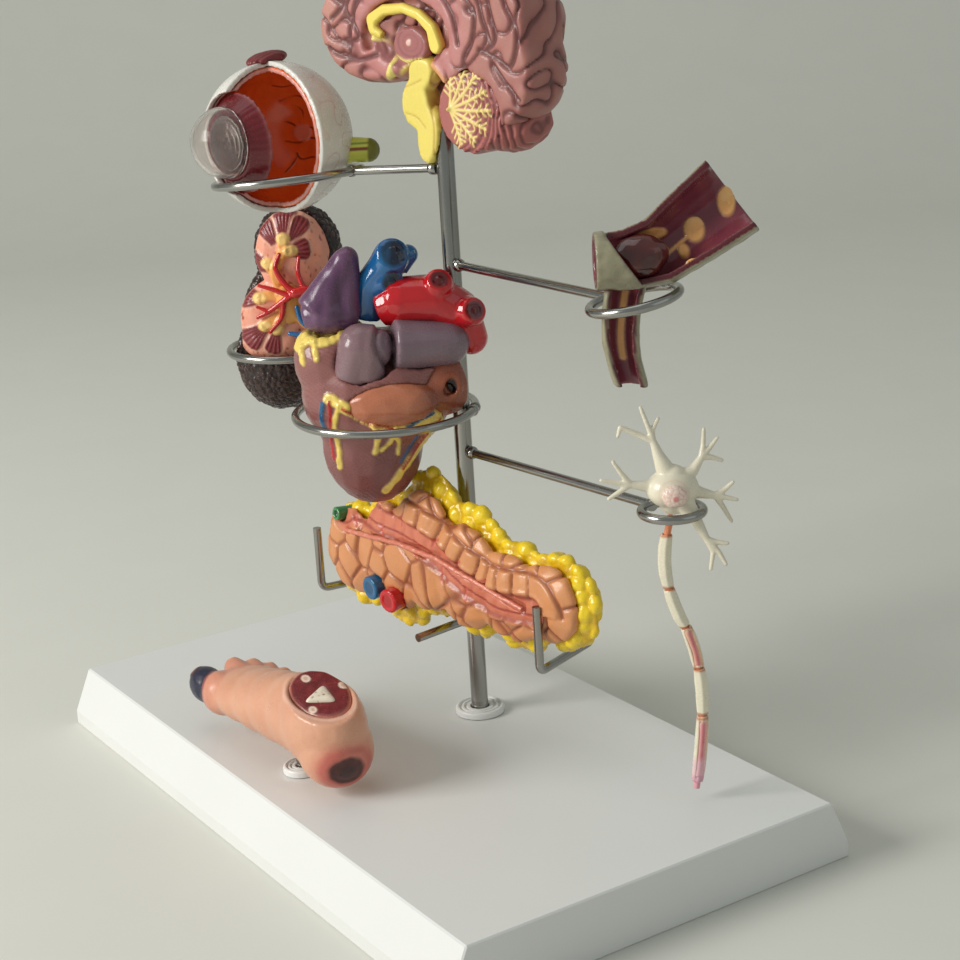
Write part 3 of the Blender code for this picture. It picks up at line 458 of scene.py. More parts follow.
def plain(name, colour, roughness, haze, stretch=(1, 1, 1), scale=400.0, change=0.08, relief=0.1, **settings):
    """Bare metal or plain plastic."""
    made, _wires, effect = new_finish(name, surface_grain_group(), relief, STEEL_BUMP, **settings)
    effect.inputs["Color"].default_value = (*colour, 1)
    effect.inputs["Roughness"].default_value = roughness
    effect.inputs["Haze"].default_value = haze
    effect.inputs["Stretch"].default_value = stretch
    effect.inputs["Scale"].default_value = scale
    effect.inputs["Change"].default_value = change
    return made


# ---- steelwork ----

def post_point(target, distance, height):
    """A point on the line from the post's axis towards a place, at a distance from the axis."""
    line = Vector((target[0] - POST[0], target[1] - POST[1], 0.0)).normalized() * distance
    return Vector((POST[0] + line.x, POST[1] + line.y, height))


def wire(name, runs):
    """Smooth bent wire: each run is its points, their radii in millimetres and whether it closes."""
    data = bpy.data.curves.new(name, "CURVE")
    data.dimensions = "3D"
    data.bevel_depth = MM
    data.bevel_resolution = 6
    data.use_fill_caps = True
    for points, radii, closed in runs:
        spline = data.splines.new("POLY")
        spline.points.add(len(points) - 1)
        spline.use_cyclic_u = closed
        spline.use_smooth = True
        for place, spot, radius in zip(spline.points, points, radii):
            place.co = (*(Vector(spot) * MM), 1.0)
            place.radius = radius
    drawn = show(bpy.data.objects.new(name + "_line", data))
    bpy.context.view_layer.update()
    mesh = bpy.data.meshes.new_from_object(drawn.evaluated_get(bpy.context.evaluated_depsgraph_get()))
    bpy.data.objects.remove(drawn, do_unlink=True)
    mesh.materials.clear()
    return show(bpy.data.objects.new(name, mesh))


def even(points, radius):
    return points, [radius] * len(points), False


def ring_run(ring, lean=None):
    turns = 120
    lean = lean or Matrix.Identity(3)
    loop = []
    for step in range(turns):
        angle = 2 * math.pi * step / turns
        loop.append(Vector(ring[:3]) + lean @ (Vector((math.cos(angle), math.sin(angle), 0)) * ring[3]))
    return loop, [wire_size()] * turns, True


def wire_size():
    return bpy.context.scene.organ_stand.wire * 500


def bead_run(start, along, size):
    """A weld bead: a short fat swelling of the wire."""
    steps = 10
    points = [start + along * (size * 1.5 * (step / steps)) for step in range(steps + 1)]
    swells = [1 - (2 * step / steps - 0.7) ** 2 / 1.9 for step in range(steps + 1)]
    radii = [size * math.sqrt(max(0.12, swell)) for swell in swells]
    return points, radii, False


def ring_arm_runs(ring, start_height, lean=None):
    centre = Vector(ring[:3])
    distance = math.hypot(centre.x - POST[0], centre.y - POST[1])
    start = post_point(centre, POST_RADIUS + SEAM, start_height)
    end = post_point(centre, distance - ring[3], centre.z)
    if lean:
        inward = (end - centre).normalized() * ring[3]
        end = centre + lean @ inward
    along = (end - start).normalized()
    weld = bead_run(end + along * 1.4, -along, 2.1)
    return [ring_run(ring, lean), even([start, end], wire_size()), bead_run(start, along, 2.3), weld]


def bent_run(points, bend=3.2):
    """A wire's corners taken round in short arcs."""
    path = [Vector(points[0])]
    for before, corner, after in zip(points, points[1:], points[2:]):
        corner = Vector(corner)
        back = (Vector(before) - corner).normalized() * bend
        ahead = (Vector(after) - corner).normalized() * bend
        for step in range(11):
            first = (corner + back).lerp(corner, step / 10)
            path.append(first.lerp(corner.lerp(corner + ahead, step / 10), step / 10))
    path.append(Vector(points[-1]))
    return even(path, wire_size())


def turned(name, profile, centre):
    """A turned piece: a closed profile of (radius, height) swung round a vertical axis."""
    mesh = bpy.data.meshes.new(name)
    count = len(profile)
    points = [(radius * MM, 0, height * MM) for radius, height in profile]
    mesh.from_pydata(points, [(index, (index + 1) % count) for index in range(count)], [])
    item = show(bpy.data.objects.new(name, mesh))
    swing = item.modifiers.new("swing", "SCREW")
    swing.steps = swing.render_steps = 96
    swing.use_merge_vertices = True
    swing.merge_threshold = 1e-6
    baked(item)
    bm = bmesh.new()
    bm.from_mesh(item.data)
    bmesh.ops.translate(bm, vec=(centre[0] * MM, centre[1] * MM, 0), verts=bm.verts)
    bmesh.ops.recalc_face_normals(bm, faces=bm.faces)
    bm.to_mesh(item.data)
    bm.free()
    return item


def collar_profile(bore, rim):
    """A disc with a rounded rim, two raised rounds and the grooves between them."""
    low = BOARD_TOP + SEAM
    high = BOARD_TOP + 2.6
    profile = [(bore, low), (bore, high - 0.5), (bore + 0.3, high - 0.2)]
    for share in (0.36, 0.68):
        at = bore + (rim - bore) * share
        profile += [(at - 0.55, high - 0.15), (at - 0.3, high - 0.85), (at + 0.3, high - 0.85),
                    (at + 0.55, high - 0.1)]
    for step in range(6):
        angle = math.radians(90 - 18 * step)
        profile.append((rim - 0.9 + 0.9 * math.cos(angle), high - 0.9 + 0.9 * math.sin(angle)))
    return profile + [(rim, low)]


def sharpened(item, angle=32):
    item.data.set_sharp_from_angle(angle=math.radians(angle))


def build_steelwork():
    """Post, rings, cradle wires and weld beads in polished steel."""
    steel = plain("polished_steel_wire", (0.36, 0.35, 0.33), 0.10, 0.16, (1, 1, 14), 260, 0.12, 0.15,
                  metallic=1.0)
    across = Vector((math.cos(math.radians(SIDE_TURN)), math.sin(math.radians(SIDE_TURN)), 0.0))
    ahead = Vector((across.y, -across.x, 0.0))
    eye_lean = Matrix.Rotation(math.radians(3.5), 3, ahead) @ Matrix.Rotation(math.radians(4.5), 3, -across)
    artery_lean = Matrix.Rotation(math.radians(10.5), 3, ahead)
    runs = {
        "eye_ring_arm": ring_arm_runs(EYE_RING, 215.3, eye_lean),
        "kidney_ring_arm": ring_arm_runs(KIDNEY_RING, KIDNEY_RING[2]),
        "artery_ring_arm": ring_arm_runs(ARTERY_RING, 183.4, artery_lean),
        "neuron_ring_arm": ring_arm_runs(NEURON_RING, NEURON_RING[2]),
    }
    side = (Vector(HEART_RING[:3]) - Vector((*POST, HEART_RING[2]))).normalized()
    tangent = Vector((-side.y, side.x, 0))
    touch = Vector((*POST, HEART_RING[2])) - side * 4.4
    beads = [bead_run(touch + tangent * way * 1.2, tangent * way, 2.0) for way in (1, -1)]
    runs["heart_ring"] = [ring_run(HEART_RING)] + beads
    for name, (corner, foot, top) in CRADLES.items():
        start = post_point((*corner, CRADLE_Z), POST_RADIUS + SEAM, CRADLE_Z)
        knee = Vector((*corner, CRADLE_Z))
        bends = bent_run([start, knee, (*foot, CRADLE_Z), (*foot, top)])
        runs[name] = [bends, bead_run(start, (knee - start).normalized(), 2.2)]
    start = post_point((*CRADLE_STUB, CRADLE_Z), POST_RADIUS + SEAM, CRADLE_Z)
    end = Vector((*CRADLE_STUB, CRADLE_Z))
    runs["pancreas_cradle_stub"] = [even([start, end], wire_size())]
    runs["pancreas_cradle_stub"].append(bead_run(start, (end - start).normalized(), 2.2))
    for node, parts in runs.items():
        item = wire(node + "_wire", parts)
        place_piece(item, steel, "stand", [node])
        sharpened(item, 50)
    top, foot, screw_bore = POST_TOP, BOARD_TOP + SEAM, 1.95
    edge = [(POST_RADIUS - 0.6 + 0.6 * math.sin(math.radians(a)), top - 0.6 + 0.6 * math.cos(math.radians(a)))
            for a in range(0, 91, 15)]
    profile = [(0.01, top), *edge, (POST_RADIUS, foot), (screw_bore, foot), (screw_bore, 34), (0.01, 34)]
    post = place_piece(turned("turned_post", profile, POST), steel, "stand", ["post"])
    sharpened(post)
    peg = [(1.0, 21.35), (1.0, 30.0), (0.01, 30.0), (0.01, 38.0), (1.7, 38.0), (2.0, 37.7), (2.0, 21.35)]
    peg = place_piece(turned("turned_foot_peg", peg, PEG), steel, "stand", ["foot_peg"])
    sharpened(peg)


def build_board():
    """The white board, its two moulded collars and the screws under it."""
    settings = bpy.context.scene.organ_stand
    white = plain("satin_white_board", settings.board_colour, 0.36, 0.12, scale=900.0, change=0.05,
                  relief=0.22)
    moulded = plain("moulded_white_plastic", (0.80, 0.80, 0.78), 0.28, 0.1, scale=700.0, relief=0.1)
    zinc = plain("zinc_plate", (0.52, 0.52, 0.50), 0.34, 0.2, scale=900.0, relief=0.3, metallic=1.0)
    for node, finish in (("base_board", white), ("post_screw", zinc), ("foot_screw", zinc)):
        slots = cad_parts[node].material_slots
        if not slots:
            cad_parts[node].data.materials.append(finish)
        for slot in slots:
            slot.material = finish
    collars = (("post_collar", POST, 3.35, 8.75), ("foot_collar", PEG, 2.35, 6.6))
    for node, centre, bore, rim in collars:
        item = turned("grooved_" + node, collar_profile(bore, rim), centre)
        place_piece(item, moulded, "stand", [node])
        sharpened(item)


# ---- organs ----

def build_brain():
    """Half a brain, folds and fissures on its cut face, with its yellow stem and branching cerebellum."""
    settings = bpy.context.scene.organ_stand
    # painted shade: the dark paint laid down in the grooves and fissures
    dark = ink(92, 44, 44)
    # painted highlight: a lighter paint for the raised tops of the folds
    gyrus_highlight = ink(198, 142, 128)
    # painted shade: a darker pink for the hollow under the arch
    hollow_shade = ink(150, 92, 94)
    lemon = ink(238, 220, 128)
    face = -4.6

    cortex = Cast(from_node("brain_cerebrum", 0.6, 16), BRAIN, settings.cortex_colour)
    cortex.push(0.35)
    spots = cortex.points
    sway = np.column_stack([grain(spots, 15.0, seed) for seed in (3.1, 8.7, 14.2)]) * 5.0
    folds = grain((spots + sway) * (1.0, 0.7, 1.0), 7.2, 2.3)
    # painted shade: the back end of the brain (x above 14 mm) is darkened, as if turned away from the light
    back_side_shade = np.clip((spots[:, 0] - 14) / 8, 0, 1)
    arch = [(-37, 34), (-34, 48), (-24, 58.5), (-10, 61), (3, 57.5), (11, 49), (13.5, 39)]
    inner = reach(cortex.front, curved(arch))[0]
    middle = np.linalg.norm((cortex.front - (-10, 42)) / (24, 16), axis=1)
    quiet = np.clip((middle - 0.95) / 0.15, 0, 1)
    medial = within(spots[:, 1], face + 2.5, 2)
    wrinkle = band(folds, 0.085) * (1 - medial * (1 - quiet))
    arch_groove = within(inner, 0.75, 0.9) * medial
    fissures = (
        [(16.5, 54.5), (21, 48.5), (19.6, 40.4), (15.9, 34.9)],
        [(30, 60), (34.5, 51), (38.6, 42), (35.5, 32.5), (29, 35), (22.6, 37.3)],
        [(26, 58), (27.5, 50), (29.5, 41), (25, 37)],
        [(28, 33), (33, 27), (38, 22)],
        [(27, 40), (24.5, 47), (22, 56)],
        [(-31.8, 52.9), (-34, 46.5), (-32, 40.8), (-38.8, 39.1)],
        [(-44, 47), (-39, 51), (-36, 58)],
        [(-47, 37), (-41, 35), (-33, 33.5), (-24, 35.2)],
        [(-12, 69), (-13, 64), (-9, 61.5)],
        [(4, 68), (5.5, 62), (9, 58)],
    )
    cuts = np.zeros(len(spots))
    for line in fissures:
        cuts = np.maximum(cuts, within(reach(cortex.front, curved(line))[0], 0.8, 1.1) * medial)
    groove = np.clip(np.maximum(np.maximum(wrinkle, arch_groove), cuts), 0, 1)
    cortex.push(-1.0 * groove + 0.25 * np.clip(np.abs(folds) * 2.4, 0, 1))
    # painted highlight on the raised tops of the folds
    cortex.paint(np.clip(np.abs(folds) * 2.2 - 0.35, 0, 0.7), gyrus_highlight)
    # painted shade over the back end of the brain
    cortex.paint(back_side_shade * 0.45, ink(142, 78, 74))
    rim = np.clip((middle - 1.0) / 0.35, 0, 1)
    cortex.paint((1 - rim) * medial * 0.75, ink(190, 124, 122))
    # painted shade in the hollow under the arch on the cut face
    recess = np.linalg.norm((cortex.front - (-9, 41)) / (17, 10.5), axis=1)
    cortex.paint(within(recess, 1.0, 0.08) * medial * 0.8, hollow_shade)
    # painted shade down in the grooves and fissures
    cortex.paint(groove**0.8 * 0.92, dark)
    cortex.spot((-11.0, 26.0), (4.5, 3.6), ink(120, 66, 74), -0.8, 1.5, medial)
    septum = [(-27.2, 40.8), (-20.8, 39.6), (-17.7, 36), (-17.5, 32), (-20.4, 26.7)]
    cortex.stroke(septum, 1.7, lemon, 0.35, medial)
    cortex.stroke([(-17.5, 32), (-17.6, 25.5), (-13.7, 29.6), (-10, 32.5), (-4.3, 32.2)], 1.5, lemon, 0.3,
                  medial)
    cortex.stroke([(-0.7, 33.9), (3.5, 30.7), (6.3, 27.6)], 1.7, ink(222, 158, 110), 0.3, medial)
    cortex.gloss = 0.15 + 0.2 * groove
    cortex.finish(painted("cortex_paint", 0.52, 0.20, 120), "brain", "cortex_pink", "brain_cerebrum")

    bow = [(-21.6, 41.4, 1.3), (-25.4, 43.2, 2.0), (-25.8, 46.6, 2.3), (-20, 49.6, 2.0), (-11, 50.2, 1.8),
           (-4, 48.0, 1.9), (1.4, 43.6, 2.2), (3.0, 38.2, 2.7)]
    depth = face + 1.2
    limbs = [((x0, depth, z0), (x1, depth, z1), r0, r1) for (x0, z0, r0), (x1, z1, r1) in zip(bow, bow[1:])]
    arch_cast = Cast(from_parts("brain_arch", BRAIN, [], limbs, 0.4, 9), BRAIN, ink(236, 214, 98))
    arch_cast.points[:, 1] = np.maximum(arch_cast.points[:, 1], face - 0.5)
    arch_cast.settle()
    arch_cast.paint(within(-arch_cast.points[:, 1], -face - 0.6, 0.8) * 0.5, ink(206, 160, 70))
    arch_cast.finish(painted("arch_yellow_paint", 0.42, 0.12), "brain", "callosum_yellow", "corpus_callosum")

    middle_cast = Cast(from_node("brain_thalamus", 0.4, 8), BRAIN, ink(164, 100, 98))
    middle_cast.push(0.25)
    apart = np.linalg.norm((middle_cast.front - (-7.4, 39.3)) / (5.6, 4.4), axis=1)
    middle_cast.paint(band(apart - 1.0, 0.08) * 0.55, ink(120, 62, 64))
    middle_cast.paint(band(apart - 0.6, 0.07) * 0.35, ink(130, 70, 72))
    middle_cast.points[:, 1] = np.maximum(middle_cast.points[:, 1], face - 0.6)
    middle_cast.settle()
    middle_cast.spot((-8.2, 39.3), (1.1, 1.0), ink(232, 190, 176), 0.3)
    middle_cast.stroke([(-14.5, 35), (-10, 33.2), (-3, 34)], 1.3, lemon, 0.25)
    middle_cast.finish(painted("thalamus_paint", 0.42, 0.15), "brain", "thalamus_mauve", "brain_thalamus")

    stem = Cast(from_node("brain_stem", 0.5, 10), BRAIN, ink(232, 212, 104))
    stem.push(0.3)
    stem.stroke([(0.9, 30), (-1.6, 22), (0.4, 13), (-0.6, 3)], 0.55, ink(196, 158, 66), -0.25)
    stem.stroke([(-12, 16.6), (-7, 15.2), (-3.5, 12)], 0.5, ink(204, 170, 74), -0.2)
    stem.stroke([(-12, 25), (-8, 26), (-4, 27.5)], 0.5, ink(204, 170, 74), -0.2)
    stem.stroke([(3.9, 30), (3.4, 22), (3.4, 11.5), (1.5, 1)], 1.5, ink(222, 158, 110))
    stem.finish(painted("stem_yellow_paint", 0.40, 0.12), "brain", "brain_stem_cream", "brain_stem")

    leaf = Cast(from_node("brain_cerebellum", 0.38, 10), BRAIN, ink(170, 98, 92))
    leaf.push(0.3)
    x, y, z = leaf.points.T
    flat = within(y, face + 1.2, 1.0)
    from_root = np.hypot(x - 9, z - 18)
    turned_line = np.sin(2 * math.pi * (from_root + 1.3 * grain(leaf.points, 6.0)) / 1.9)
    outer = np.clip((from_root - 9.5) / 3, 0, 1)
    ridges = np.clip(1 - flat + outer, 0, 1)
    leaf.push(0.28 * turned_line * ridges)
    # painted shade in the grooves between the folds
    leaf.paint(np.clip(-turned_line, 0, 1) * ridges * 0.8, ink(104, 48, 50))
    speckle = np.clip(grain(leaf.points, 1.1, 5.0) * 2.4 - 0.35, 0, 1) * flat
    speckle = speckle * np.clip((from_root - 10) / 3, 0, 1)
    leaf.paint(speckle, ink(96, 40, 44))
    cream = ink(236, 212, 130)
    root = (8.0, 18.4)
    tips = ((16.0, 32.0), (9.0, 29.5), (20.5, 29.5), (24.0, 24.5), (25.5, 18.5), (23.5, 12.5), (18.5, 8.5),
            (12.5, 7.5))
    forks = ((0.38, 1), (0.46, -1), (0.56, 1), (0.64, -1), (0.72, 1), (0.80, -1), (0.87, 1), (0.93, -1))
    for tip in tips:
        tip = np.array(tip)
        bough = tip - root
        leaf.stroke([root, tuple(np.array(root) + bough * 0.5 + (0.4, -0.3)), tuple(tip)], 0.95, cream, 0.2,
                    flat, 0.35)
        cross = np.array((-bough[1], bough[0])) / np.linalg.norm(bough)
        for share, way in forks:
            fork = np.array(root) + bough * share
            twig = fork + cross * way * 2.4 * (1.15 - share * 0.4) + bough / np.linalg.norm(bough) * 1.6
            leaf.stroke([tuple(fork), tuple(twig)], 0.6, cream, 0.15, flat, 0.3)
    leaf.finish(painted("cerebellum_paint", 0.44, 0.16), "brain", "cerebellum_pink", "brain_cerebellum")


def snapped(cast, centre, radii, inner_radii=None):
    """Draws the points of a domed shell onto its true outer and inner surfaces."""
    offset = cast.points - np.array(centre, float)
    for size, way in ((radii, 1), (inner_radii, -1)):
        if size is None:
            continue
        size = np.array(size, float)
        length = np.linalg.norm(offset / size, axis=1)
        outward = np.einsum("ij,ij->i", cast.normals, offset / size**2)
        outward = outward / np.linalg.norm(offset / size**2, axis=1)
        near = (np.abs(length - 1) < 0.05) & (way * outward > 0.75)
        offset[near] = offset[near] / length[near, None]
    cast.points = offset + np.array(centre, float)
    cast.settle()


def build_eye():
    """Open eyeball: white outer shell, orange lining, iris wedge, clear lens and cornea, nerve and muscle."""
    r = 25.6
    white = Cast(from_node("eye_sclera", 0.45, 3), EYE, ink(224, 220, 212))
    snapped(white, (0, 0, 0), (r,) * 3, (r - 1.6,) * 3)
    away = np.linalg.norm(white.points, axis=1)
    thread = band(grain(white.points + 3 * grain(white.points, 9.0)[:, None], 7.0, 4.0), 0.035)
    white.paint(thread * within(-white.points[:, 1], -2, 8) * 0.45 * (away > r - 0.5), ink(190, 90, 84))
    white.paint(np.clip(grain(white.points, 12.0) * 0.35, 0, 0.3), ink(190, 186, 180))
    white.gloss[:] = 0.45
    white.finish(painted("sclera_paint", 0.38, 0.08), "eye", "sclera_white", "eye_sclera")

    lining = Cast(from_node("eye_choroid", 0.45, 3), EYE, ink(255, 120, 48))
    outer = r - 1.95
    inner = r - 3.55
    snapped(lining, (0, 0, 0), (outer,) * 3, (inner,) * 3)
    radial = np.einsum("ij,ij->i", lining.normals, lining.points) / np.linalg.norm(lining.points, axis=1)
    streak = grain(lining.points * (1, 1, 0.18), 2.6, 6.0)
    lining.paint(np.clip(-streak, 0, 1) * 0.35, ink(228, 74, 22))
    lining.paint(np.clip(streak, 0, 1) * 0.4, ink(255, 128, 48))
    lining.paint(np.clip((2 - lining.points[:, 1]) / 14, 0, 0.85), ink(150, 30, 24))
    lining.paint(within(lining.points[:, 1], -9.0, 3) * 0.9, ink(90, 22, 30))
    vessel = ink(96, 18, 14)
    lines = (
        [(-12.1, 9.0, 15.9), (-10.0, 12.1, 15.3), (-4.0, 14.5, 15.9), (-2.2, 17.3, 13.3)],
        [(-14.3, 13.1, 10.2), (-8.2, 16.5, 11.8), (-5.2, 19.2, 9.2), (1.5, 20.5, 8.0)],
        [(-17.0, 12.5, 3.5), (-14.2, 16.6, 2.2), (-11.5, 18.6, 0.4), (-7.9, 20.4, 0.6), (-3.5, 21.6, -1.4),
         (4, 21.3, 0)],
        [(-15.4, 15.0, -4.0), (-11.7, 17.9, -4.7), (-8.1, 20.1, -3.2), (-3.9, 21.5, -3.8), (2.0, 21.0, -5.8)],
        [(-11.7, 16.6, -8.2), (-9.5, 16.9, -10.2), (-5.2, 19.0, -9.5), (2.0, 18.9, -11.0)],
        [(-10.0, 19.0, 2.0), (-9.5, 18.6, 6.5), (-12.0, 15.5, 9.0)],
        [(-9.8, 19.0, -3.0), (-11.5, 15.5, -10.5), (-12.5, 11.5, -14.5)],
    )
    facing = np.clip(-radial * 2, 0, 1)
    for line in lines:
        lining.stroke(line, 0.6, vessel, 0.12, facing, 0.4, flat=False)
    lining.spot((-10.6, 19.0, -1.2), (3.4, 3.4, 3.0), ink(246, 150, 120), 0.6, 1.0, facing)
    rim_mask = within(np.abs(radial), 0.45, 0.3)
    lining.paint(rim_mask, ink(214, 150, 140))
    lining.gloss = 0.6 - 0.5 * rim_mask
    lining.finish(painted("lining_orange_paint", 0.36, 0.2), "eye", "choroid_orange", "eye_choroid")

    iris = Cast(from_node("eye_iris", 0.42, 8), EYE, ink(96, 20, 28))
    x, y, z = iris.points.T
    angle = np.arctan2(z, x)
    spokes = np.sin(angle * 44 + 2 * grain(iris.points, 4.0)) * 0.5 + 0.5
    iris.paint(spokes * 0.3, ink(124, 36, 42))
    iris.push(0.06 * spokes)
    iris.paint(within(np.hypot(x, z), 9.6, 1.2), ink(60, 14, 18))
    iris.paint(band(np.hypot(x, z) - 16.6, 0.5) * 0.5, ink(176, 106, 106))
    iris.gloss[:] = 0.55
    iris.finish(painted("iris_paint", 0.40, 0.2), "eye", "maroon", "eye_iris")

    glass = clear_resin()
    lens = Cast(from_node("eye_lens", 0.42, 3), EYE, ink(240, 220, 214))
    snapped(lens, (0, -21.2, 0.6), (9.2, 2.9, 9.2))
    away = np.hypot(lens.points[:, 0], lens.points[:, 2] - 0.6)
    for edge in (3.2, 5.6, 7.6):
        lens.push(-0.16 * band(away - edge, 0.35))
    lens.finish(glass, "eye", "clear_resin", "eye_lens")
    cornea = Cast(from_node("eye_cornea", 0.35, 2), EYE, ink(236, 226, 220))
    snapped(cornea, (0, -21.5, 1.0), (12.0,) * 3, (10.9,) * 3)
    cornea.finish(glass, "eye", "clear_resin", "eye_cornea")

    start = np.array((14.6, 15.4, -5.4))
    end = np.array((21.2, 22.0, -6.0))
    flare = start + (end - start) * 0.4
    limbs = [(tuple(start), tuple(flare), 6.2, 4.3), (tuple(flare), tuple(end), 4.3, 4.1)]
    nerve = Cast(from_parts("flared_optic_nerve", EYE, [], limbs, 0.35, 5), EYE, ink(222, 226, 96))
    nerve.push(0.1)
    axis = (end - start) / np.linalg.norm(end - start)
    along = (nerve.points - start) @ axis
    apart = np.linalg.norm(nerve.points - start - along[:, None] * axis, axis=1)
    nerve.paint(within(np.abs(nerve.points[:, 2] + 5.0), 0.55, 0.4) * (apart > 2), ink(146, 70, 40))
    nerve.paint(within(np.abs(nerve.points[:, 2] + 3.2), 0.3, 0.4) * (apart > 2), ink(130, 150, 50))
    cap = within(-along, -(np.linalg.norm(end - start) + 0.2), 0.8)
    nerve.paint(cap, ink(122, 122, 44))
    nerve.paint(cap * within(apart, 1.3, 0.5), ink(120, 60, 36))
    nerve.finish(painted("nerve_paint", 0.40, 0.14), "eye", "nerve_lime", "optic_nerve")

    muscle = Cast(from_node("eye_muscle", 0.35, 6), EYE, ink(112, 34, 38))
    muscle.push(0.25 + 0.12 * np.sin(muscle.points[:, 0] * 4.2 + grain(muscle.points, 4.0)))
    muscle.paint(np.clip(np.sin(muscle.points[:, 0] * 4.2), 0, 1) * 0.4, ink(146, 62, 60))
    muscle.finish(painted("muscle_paint", 0.40, 0.2), "eye", "maroon", "eye_muscle")


def clear_resin():
    """Clear cast resin with a faint warm cast and hair-fine swirls."""
    made = bpy.data.materials.new("clear_cast_resin")
    made.use_nodes = True
    wires = Wiring(made.node_tree)
    shader = made.node_tree.nodes["Principled BSDF"]
    shader.inputs["Transmission Weight"].default_value = 0.97
    shader.inputs["IOR"].default_value = 1.22
    effect = wires.add("ShaderNodeGroup", node_tree=surface_grain_group())
    effect.inputs["Color"].default_value = (0.95, 0.90, 0.88, 1)
    effect.inputs["Roughness"].default_value = 0.03
    effect.inputs["Haze"].default_value = 0.06
    effect.inputs["Scale"].default_value = 120.0
    wires.join(effect.outputs["Color"], shader.inputs["Base Color"])
    wires.join(effect.outputs["Roughness"], shader.inputs["Roughness"])
    return made


